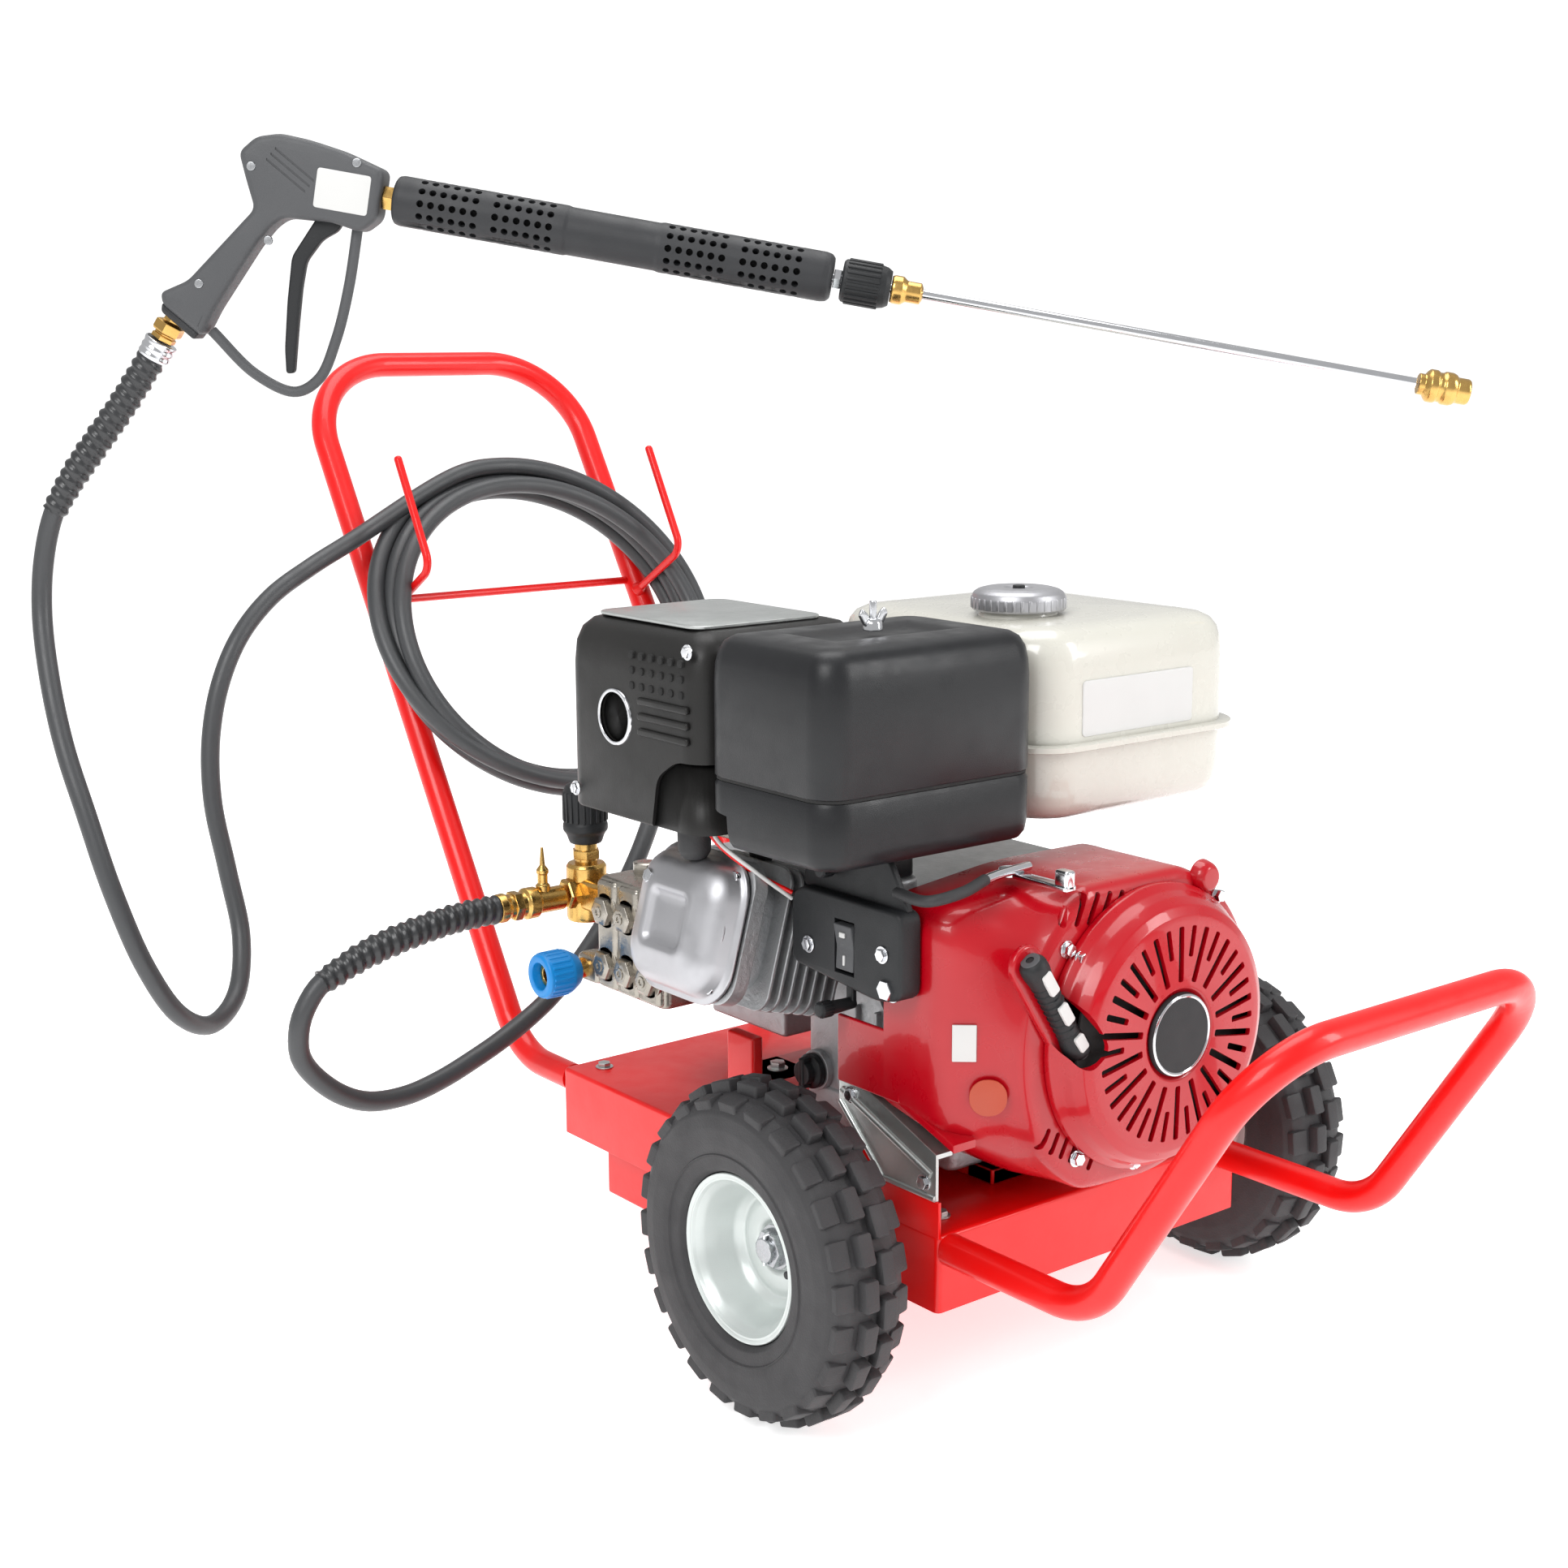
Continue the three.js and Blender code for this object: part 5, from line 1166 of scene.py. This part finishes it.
# %% Air cleaner
x0, x1, y0, y1 = -262, -52, -82, 66
cover_levels = [(20, 196.4), (0.8, 196.4), (0, 197.4), (0, 268), (0.8, 281), (3, 291), (7, 297.6),
    (13, 301.2), (22, 302.6), (40, 303), (46, 302.6), (50, 301), (53, 299.4), (58, 298.6), (66, 298.4)]
cover = loft(cover_levels, x0, x1, y0, y1, 24)
piece("cleaner_lid", cover, BLACK_PLASTIC, place=ENGINE, nodes=["air_cleaner_cover"], smooth=50)
tray = loft([(60, 142), (12, 142), (5, 144), (1.5, 149), (0.2, 157), (0, 190), (1.6, 193.4), (20, 194.4)],
    x0, x1, y0, y1, 24)
horn = soft_box(-162, -120, -18, 21, 111.3, 146, 8, 2)
tray_piece = piece("cleaner_tray", merge(tray, horn), BLACK_PLASTIC, place=ENGINE,
    nodes=["air_cleaner_base"], smooth=50)
notch = side_slab([(30, 100), (90, 100), (90, 175), (36, 168)], -280, -200, 3)
carve(tray_piece, [notch], ENGINE, 50)
# The groove between lid and tray is painted near-black: painted shade in the recess.
piece("cleaner_groove_shade", loft([(2, 193.6), (1.2, 194.2), (1.2, 196.6), (2, 197)], x0, x1, y0, y1, 24),
    PAINTED_RECESS_SHADE, place=ENGINE)
nut_place = ENGINE @ offset(-157, -8, 303.3)
hub = turned([(0, 0), (8, 0), (7, 6), (5, 9), (0, 9)], "z", sides=48)
stud = turned([(0, 0), (2.8, 0), (2.8, 22), (0, 22)], "z", sides=32)
wings = [moved(slab(rounded_line([(3, 1), (9, 4), (14, 12), (11, 17), (6, 13), (3, 8)], 2), -1.4, 2.8, 0.8),
               Matrix.Rotation(a, 4, "Z")) for a in (0, math.pi)]
piece("cleaner_nut", merge(hub, stud, *wings), CHROME, "cleaner_wing_nut", nut_place, ["wing_nut"])

# %% [markdown]
# ## Muffler
# The guard is a thin shell with a hole for the exhaust and an arch below; the can stands inside.

# %% Muffler
y0, y1 = 69, 252
guard_levels = [(8, 144), (1.5, 144), (0, 146), (0, 262), (1.6, 279), (6, 290), (14, 297), (24, 299.6),
    (60, 300)]
guard = piece("guard_pressing", loft(guard_levels, -262, -92, y0, y1, 22), BLACK_METAL, place=ENGINE,
              nodes=["muffler_guard"], smooth=50)
hole = rod("x", (-275, 181, 224), 20, 40, soft=0.2)
arch = side_slab(rounded_line([(60, 120), (137, 120), (125, 184), (99, 200), (60, 200)], 10), -280, -122,
    0.3)
room = loft([(0, 120), (0, 262), (10, 290), (22, 296)], -259, -95, y0 + 3, y1 - 3, 20)
carve(guard, [room, hole, arch], ENGINE, 50)
# The perforations are near-black dots on the guard: painted shade standing in for the holes.
shade_dot = side_slab(rounded_line([(-3, -3), (3, -3), (3, 3), (-3, 3)], 2.9), -263.2, -259.5, 0.6)
shade_dot_row = copies(moved(shade_dot, offset(0, 92, 0)), 6, step=(0, 13, 0))
shade_dot_rows = [moved(shade_dot_row, offset(0, 0, z)) for z in (276, 264, 252)]
piece("guard_perforation_shade", merge(*shade_dot_rows), PAINTED_RECESS_SHADE, place=ENGINE)
louvre = side_slab(rounded_line([(82, 0), (148, 0), (148, 6), (82, 6)], 2.8), -264.6, -260.5, 1.6)
piece("guard_louvres", merge(*[moved(louvre, offset(0, 0, z)) for z in (238, 226, 214)]),
    BLACK_METAL, place=ENGINE)
hole_rim = turned([(19.6, -263.6), (22.4, -263.6), (23.4, -260.8), (19.6, -260.8)], "x", (0, 181, 224),
    72, 0.8)
piece("exhaust_rim", hole_rim, CHROME, place=ENGINE)
can = soft_box(-240, -102, 135, 242, 154, 288, 24, 14)
pipe = turned([(10, -258), (13, -258), (13, -226), (10, -226)], "x", (0, 181, 224), 56)
port = soft_box(-160, -130, 162, 192, 112, 162, 6, 2)
piece("muffler_can", merge(can, pipe, port), NICKEL, place=ENGINE, nodes=["muffler"])
guard_bolts = [bolt("x", (-262, y, z), 4.5, 4, -1) for y, z in ((82, 286), (238, 158))]
piece("guard_bolts", merge(*guard_bolts), CHROME, place=ENGINE)
top_plate = loft([(1, 299.6), (0, 300.4), (0, 302), (1, 302.6)], -246, -120, 92, 232, 14)
piece("guard_top_plate", top_plate, GALVANISED, place=ENGINE)

# %% [markdown]
# ## Fuel system and controls
# The carburettor sits under the air cleaner; its levers reach out past the control box.

# %% Carburettor, levers and control box
carb = soft_box(-166, -116, -21, 24, 50, 111, 12, 4)
bowl = turned([(0, 28), (17, 28), (20, 32), (20, 52), (0, 52)], "z", (-141, 1.5, 0), 56, 1.5)
carb_flange = soft_box(-160, -125, 20, 36, 66, 100, 4, 2)
carb_screws = [bolt("x", (-166, y, z), 4, 4, -1) for y, z in ((-14, 104), (17, 60))]
piece("carburettor_body", merge(carb, bowl, carb_flange, *carb_screws), CAST, place=ENGINE,
    nodes=["carburettor"])


def control_lever(name, z, reach, body, node):
    hub = rod("x", (-171.3, 2, z), 7, 5)
    low, high = sorted((z, z + reach))
    arm = soft_box(-171.3, -166.3, -2, 6, low, high, 1.5, 1.5)
    knob = turned([(0, -202), (5, -202), (6.4, -199), (5.4, -188), (4.5, -166.5), (0, -166.5)], "x",
        (0, 2, z + reach), 40, 1)
    grips = ring(soft_box(-200, -190, -0.7, 0.7, 5.2, 6.6, 0.5, 0.4, steps=2), 16, "x")
    grips = moved(grips, offset(0, 2, z + reach))
    piece(name, merge(hub, arm, knob, grips), TRIM_BLACK, body, ENGINE, [node])


control_lever("choke_arm", 100, 24, "choke", "choke_lever")
control_lever("fuel_arm", 58, -44, "fuel_valve", "fuel_valve_lever")
arm = slab(rounded_line([(-102, -160), (-90, -160), (-91, -92), (-101, -92)], 3), 0, 4, 0.8)
arm = moved(arm, offset(0, 0, 126) @ spin(-90, "X"))
lever_hub = rod("z", (-96, -96, 122), 9, 6)
finger = soft_box(-101, -91, -160, -146, 122, 137, 3, 2)
piece("throttle_arm", merge(arm, lever_hub, finger), CHROME, "throttle", ENGINE, ["throttle_lever"])

box_outline = rounded_line([(-86, 40), (-60, 34), (42, 44), (42, 98), (30, 106), (-86, 106)], 10)
control_box = piece("control_housing", side_slab(box_outline, -196, -175, 3), TRIM_BLACK, place=ENGINE,
    nodes=["control_box"])
carve(control_box, [soft_box(-200, -184, -33.5, -10.5, 47, 89, 3, 0.5)], ENGINE)
rocker_profile = slab(rounded_line([(-196.5, 50), (-190, 50), (-190, 86), (-199, 86), (-195.6, 68)], 1.6),
    -32, 20, 1.2)
piece("rocker", rocker_profile, GUN_GREY, "rocker_switch", ENGINE, ["engine_switch"])
marks = [soft_box(-199.2, -197.2, -25, -19, 76, 80, 0.8, 0.6), soft_box(-197.4, -195.4, -23, -21, 54, 62,
    0.8, 0.6)]
piece("rocker_marks", merge(*marks), LABEL, "rocker_switch", ENGINE)
box_screws = [bolt("x", (-196, y, z), 5, 4, -1) for y, z in ((20, 62), (-66, 72))]
box_nut = bolt("x", (-190, -70, 46), 8, 9, -1)
piece("control_screws", merge(*box_screws, box_nut), CHROME, place=ENGINE)
bracket = side_slab(rounded_line([(-84, 104), (40, 104), (34, 141), (-60, 141)], 6), -186, -180, 1.5)
piece("control_bracket", bracket, TRIM_BLACK, place=ENGINE)
linkage = sweep(smooth_path([(-140, -112, 128), (-118, -108, 129), (-84, -103, 129)], 2), 3.6, 20)
sheath = sweep(smooth_path([(-186, -70, 118), (-192, -112, 121), (-168, -120, 125), (-136, -111, 128)],
    2), 4.4, 20)
piece("throttle_linkage", linkage, CHROME, place=ENGINE)
piece("throttle_sheath", sheath, RUBBER, place=ENGINE, smooth=60)

# %% [markdown]
# ## Spark plug and wires
# A boot with its lead, a second cap with two thin wires, and the fuel pipe.

# %% Spark plug and wires
boot = turned([(0, 56), (8, 56), (10, 60), (10.5, 78), (9, 88), (5, 92), (0, 92)], "z", (-186, 0, 0), 48, 2)
cap_shape = turned([(0, 118), (9, 118), (13, 124), (13.5, 150), (11, 165), (6, 171), (0, 171)], "z",
    (-235, 114, 0), 48, 2)
piece("plug_cap", cap_shape, RUBBER, place=ENGINE, smooth=60)
elbow = sweep(smooth_path([(-186, 0, 80), (-186, 16, 84), (-186, 32, 80)], 1.5), 7, 28)
piece("plug_boot", merge(boot, elbow), RUBBER, place=CYLINDER, nodes=["spark_plug_boot"], smooth=60)
plug_lead = smooth_path([(-186, 118, 142), (-182, 98, 136), (-172, 78, 124), (-150, 66, 112),
    (-128, 60, 90)], 2.5)
piece("plug_lead", sweep(plug_lead, 3.4, 20), RUBBER, place=ENGINE, smooth=60)
for name, shift, look in (("red_wire", 0, FRAME_RED), ("white_wire", 5, LABEL)):
    wire = smooth_path([(-236, 100 - shift, 152), (-232, 92 - shift, 136), (-212, 70 - shift, 112),
        (-190, 48, 96 - shift)], 2)
    piece(name, sweep(wire, 1.7, 14), look, place=ENGINE, smooth=60)
drain_hose = smooth_path([(-120, 20, 40), (-128, 12, 10), (-118, 2, -20), (-112, -10, -50)], 3)
piece("fuel_pipe", sweep(drain_hose, 3.6, 18), RUBBER, place=ENGINE, smooth=60)

# %% [markdown]
# ## Engine mount
# A post and a rubber cushion stand between the air cleaner and the deck.

# %% Engine mount
post = soft_box(-152, -140, 150, 186, -144, -56, 3, 2)
piece("mount_post", post, FRAME_RED, place=ENGINE)
mount = turned([(0, -150), (18, -150), (20, -146), (15, -138), (20, -130), (18, -126), (0, -126)], "z",
    (-140, 110, 6), 56, 1.5)
piece("mount_rubber", mount, RUBBER, place=ENGINE)
piece("mount_bolt", bolt("z", (-140, 110, -121), 7, 7), CHROME, place=ENGINE)

# %% [markdown]
# ## Pump
# A cast crankcase, a nickel-plated manifold with hexagon caps, brass valves and the blue coupler.

# %% Pump body
flange_profile = [(16, 168.3), (76, 168.3), (77, 170), (77, 177), (74, 179), (56, 184), (54, 202.7),
    (16, 202.7)]
pump_bell = turned(flange_profile, "y", sides=96, soft=1.4)
bell_bolts = ring(bolt("y", (0, 178.6, 66), 6, 6), 4, "y")
piece("pump_bell", merge(pump_bell, bell_bolts), CAST, place=ENGINE, nodes=["pump_flange"])
pump_box = soft_box(-94, 62, 203, 352, -62, 60, 18, 10)
pump_foot = soft_box(-60, 40, 223, 332, -92, -55, 5, 3)
end_cap = turned([(0, 350), (32, 350), (32, 355), (26, 358), (0, 358)], "y", sides=64)
pump_ribs = copies(soft_box(-86, 56, 214, 356, -46, -42.5, 12, 1.6), 6, step=(0, 0, 17))
sight = turned([(0, 355), (9, 355), (9, 360.5), (0, 360.5)], "y", (-56, 0, -30), 40)
piece("pump_casting", merge(pump_box, pump_foot, end_cap, pump_ribs, sight), CAST, place=ENGINE,
    nodes=["pump_crankcase"])
pump_bolts = moved(ring(bolt("y", (0, 352, 44), 5, 5), 4, "y"), spin(45, "Y"))
piece("pump_bolts", pump_bolts, CHROME, place=ENGINE)

# %% [markdown]
# ## Manifold
# Three rounded columns with hexagon caps, and the arm that leads to the inlet.

# %% Manifold
block = soft_box(-190, -96, 222, 322, -42, 58, 9, 5)
waist = [soft_box(-193, -120, y - 15, y + 15, -40, 56, 6, 4) for y in (240, 272, 304)]
hex_caps = []
for y in (240, 272, 304):
    for z in (30, -18):
        cap = turned([(0, -201), (9, -201), (13, -199), (13, -190), (0, -190)], "x", (0, y, z), 6, 0.8)
        collar = turned([(0, -193), (16, -193), (16, -186), (0, -186)], "x", (0, y, z), 48, 0.8)
        dimple = turned([(2.5, -202), (5, -202), (5, -200), (2.5, -200)], "x", (0, y, z), 32, 0.3)
        hex_caps += [cap, collar, dimple]
    hex_caps.append(turned([(0, 57), (12, 57), (12, 66), (9, 67.5), (0, 67.5)], "z", (-150, y, 0), 6, 0.8))
inlet_arm = soft_box(-194, -172, 318, 350, -40, -16, 6, 4)
inlet_tail = turned([(0, -203), (9, -203), (9, -176), (0, -176)], "x", (0, 338, -28), 48)
piece("manifold_casting", merge(block, *waist, inlet_arm), NICKEL, place=ENGINE, nodes=["pump_manifold"])
piece("manifold_caps", merge(*hex_caps), NICKEL, place=ENGINE)
piece("inlet_tail", inlet_tail, BRASS, place=ENGINE)

# %% [markdown]
# ## Unloader, outlet and coupler
# The brass valve carries the pressure knob, the outlet feeds the hose, and the blue coupler turns
# on the inlet.

# %% Unloader, outlet and coupler
tee = [
    turned([(0, 4), (17, 4), (18, 7), (18, 22), (15, 25), (15, 38), (18, 41), (18, 53), (16, 56),
    (0, 56)], "z", (-165, 375, 0), 56),
    soft_box(-179, -143, 322.3, 375, 16, 44, 7, 5),
    turned([(0, -189), (12, -189), (14, -187), (14, -177), (0, -177)], "x", (0, 375, 30), 6),
    rod("z", (-165, 375, 54), 10, 20), turned([(0, 60), (13, 60), (13, 68), (0, 68)], "z", (-165, 375, 0),
    6),
]
piece("unloader_body", merge(*tee), BRASS, place=ENGINE, nodes=["unloader_valve"])
knob_profile = [(0, 0), (14, 0), (15, 2), (17, 8), (20, 12), (20, 17), (18.5, 20), (19.5, 46), (17, 52),
    (12, 54), (0, 54)]
knob_ribs = ring(soft_box(18.2, 20.2, -1.3, 1.3, 20, 47, 1, 0.8, steps=2), 20, "z")
knob = merge(turned(knob_profile, "z", sides=80, soft=1.5), knob_ribs)
knob_place = ENGINE @ offset(-165, 375, 74.3)
piece("knob_moulding", knob, TRIM_BLACK, "pressure_knob", knob_place, ["unloader_knob"])
outlet = [
    turned([(0, -259), (12.5, -259), (13, -252), (11, -248), (11, -232), (14, -230), (14, -220),
    (11, -218), (11, -192), (0, -192)],
           "x", (0, 375, 28), 56),
    turned([(0, -244), (13.5, -244), (13.5, -236), (0, -236)], "x", (0, 375, 28), 6),
    turned([(0, 34), (6.5, 34), (6.5, 42), (4.5, 44), (4.5, 52), (5.5, 53), (5.5, 56), (2.5, 60),
    (1.2, 76), (0, 76)],
           "z", (-211, 375, 0), 40, 0.6),
]
piece("outlet_brass", merge(*outlet), BRASS, place=ENGINE, nodes=["outlet_fitting"])
coupler_profile = [(11, -14), (12, -38), (17.5, -38), (19.5, -36.5), (20, -33), (20, -12), (17.5, -7),
    (14, -1), (9.4, 0), (9.4, -14)]
coupler_place = ENGINE @ offset(-202.3, 338, -28)
coupler_ribs = ring(soft_box(-34, -14, -1.5, 1.5, 19, 20.6, 1, 0.8, steps=2), 24, "x")
coupler = merge(turned(coupler_profile, "x", sides=80, soft=1.5), coupler_ribs)
piece("coupler_shell", coupler, BLUE, "inlet_nut", coupler_place, ["inlet_coupler"])
insert = turned([(6, -14.2), (11, -14.2), (10.8, -30), (6.6, -30)], "x", sides=56)
piece("coupler_insert", insert, BRASS, "inlet_nut", coupler_place)

# %% [markdown]
# ## Gun and lance
# All of it lies in the gun's own plane: x along the lance, z up.

# %% Gun body
gun_outline = [
    (-7, -19), (-20, -32), (-46, -28), (-86, -31), (-96, -40), (-107, -58), (-135, -117), (-144, -142),
    (-180, -121), (-183, -111), (-161, -97), (-112, -28), (-122, -6), (-131, 16), (-118, 31), (-98, 37),
    (-73, 36), (-45, 32), (-7, 22),
]
shell = slab(rounded_line(gun_outline, 6), -17, 34, 6, 5)
gun_shell = piece("gun_shell", shell, GUN_GREY, place=GUN, nodes=["gun_body"], smooth=40)
trigger_room = slab([(-34, -50), (-34, -16), (-64, -16), (-64, -50)], -6, 12, 0.2)
grooves = []
for i in range(3):
    shift = Vector((i * 5.2, i * 8.4))
    line = [Vector((-106, 14)) + shift * 0.6, Vector((-70, -7)) + shift * 0.6]
    bar = [(line[0].x, line[0].y - 1), (line[1].x, line[1].y - 1), (line[1].x, line[1].y + 1),
        (line[0].x, line[0].y + 1)]
    grooves.append(slab(bar, -18.5, 2.4, 0.2))
carve(gun_shell, [trigger_room, *grooves], GUN, 40)
guard_points = [(-139, -136), (-97, -166), (-61, -175), (-42, -160), (-32, -125), (-27, -80), (-26, -26)]
guard_line = smooth_path([(x, 0, z) for x, z in guard_points], 3)
piece("trigger_guard", sweep(guard_line, 4.6, 24), GUN_GREY, place=GUN, smooth=60)
label_plate = slab(rounded_line([(-62, -18), (-16, -18), (-16, 15), (-62, 15)], 3), -17.6, 1.4, 0.4)
piece("gun_label", label_plate, LABEL, place=GUN)
gun_screws = [turned([(0, -18), (3.6, -18), (4.2, -16.4), (0, -16.4)], "y", (x, 0, z), 32, 0.4)
              for x, z in ((-118, 6), (-150, -98), (-30, 24), (-96, -52))]
piece("gun_screws", merge(*gun_screws), STEEL, place=GUN)
heel_cap = slab(rounded_line([(-146, -139), (-150, -146), (-181, -127), (-181, -119)], 3), -14, 28, 3)
piece("gun_heel", heel_cap, SLEEVE_GREY, place=GUN)
trigger_outline = [
    (-38, -24), (-60, -24), (-78, -62), (-77, -100), (-74, -140), (-70, -161), (-63, -159),
    (-65, -120), (-66, -86), (-65, -64), (-54, -44), (-41, -34),
]
trigger = slab(rounded_line(trigger_outline, 5), -5, 10, 2.4, 4)
piece("trigger_moulding", trigger, TRIM_BLACK, "trigger", GUN, ["gun_trigger"])

# %% [markdown]
# ## Sleeve and lance
# A vented sleeve round a core painted near-black as painted shade, the lance with its clamp nut and
# end coupler, and the swivel that joins the hose to the heel of the grip.

# %% Sleeve and lance
sleeve_profile = [
    (5.5, 3), (17, 3), (20, 5), (21, 9), (21, 150), (20.2, 153), (20.2, 229), (21, 232), (21, 372),
    (20, 377), (17, 380), (5.5, 380),
]
sleeve = piece("sleeve_moulding", turned(sleeve_profile, "x", sides=96, soft=1.2), SLEEVE_GREY, place=GUN,
    nodes=["lance_sleeve"])
vents = []
for first in (28, 92, 240, 304):
    for turn in range(0, 360, 30):
        hole = turned([(0, 12), (3, 12), (3, 30), (0, 30)], "z", (first, 0, 0), 14, 0)
        vents.append(moved(copies(hole, 6, step=(9.2, 0, 0)), spin(turn, "X")))
carve(sleeve, vents, GUN, 40)
# The core is painted near-black: painted shade seen through the vents.
shade_core = turned([(0, 6), (13, 6), (13, 374), (0, 374)], "x", sides=48)
piece("sleeve_shade_core", shade_core, PAINTED_RECESS_SHADE, place=GUN)
lance = [
    rod("x", (2, 0, 0), 4.5, 882), turned([(0, 381), (9, 381), (9, 387.5), (0, 387.5)], "x", sides=6),
]
piece("lance_pipe", merge(*lance), CHROME, place=GUN, nodes=["lance_tube"])
lance_socket = [(0, 430.5), (11, 430.5), (12, 433), (12, 440), (9, 444), (9, 456), (5, 458), (0, 458)]
piece("lance_socket", turned(lance_socket, "x", sides=56), BRASS, place=GUN)
joint = [turned([(0, -6.6), (11, -6.6), (11, 2), (9, 2.6), (0, 2.6)], "x", sides=6),
         turned([(0, -8), (8, -8), (8, 5), (0, 5)], "x", sides=40)]
piece("gun_outlet", merge(*joint), BRASS, place=GUN)
nut_profile = [(5.5, 388), (16, 388), (18, 390), (18.4, 394), (18.4, 420), (17, 426), (14.5, 430),
    (5.5, 430)]
nut_ribs = ring(soft_box(392, 421, -1.5, 1.5, 17.6, 19.4, 1.2, 0.8, steps=2), 22, "x")
piece("clamp_nut", merge(turned(nut_profile, "x", sides=88), nut_ribs), TRIM_BLACK, "lance_clamp_nut",
    GUN, ["lance_nut"])
tip = 885.3
tip_steps = [
    (5, 20), (5, 44), (10, 44), (11, 42), (11, 33), (13, 31), (14, 28), (14, 22), (12.5, 20), (12.5, 17),
    (14, 15), (14, 9), (12, 7), (9, 5), (9, 0), (0.2, 0), (0.2, 20),
]
tip_profile = [(radius, tip + step) for radius, step in tip_steps]
piece("lance_end_coupler", turned(tip_profile, "x", sides=80), BRASS, "nozzle_coupler", GUN,
    ["lance_coupler"])
swivel_profile = [
    (0, 3), (8, 3), (8, 7), (13, 8.6), (13.2, 10), (13.2, 16), (12, 18), (9.5, 18.6), (9.5, 20),
    (11, 20.6), (11, 24.6), (0, 25),
]
piece("swivel_body", turned(swivel_profile, "x", sides=6, soft=0.8), BRASS, "hose_swivel", HEEL,
    ["gun_swivel"])
ferrule_profile = [
    (8.9, 26), (14.2, 26), (14.4, 28), (13.4, 31), (14.4, 34), (13.4, 37), (14.2, 40), (13, 43),
    (8.9, 43),
]
ferrule = turned(ferrule_profile, "x", sides=72)
piece("hose_ferrule", ferrule, CHROME, place=HEEL)
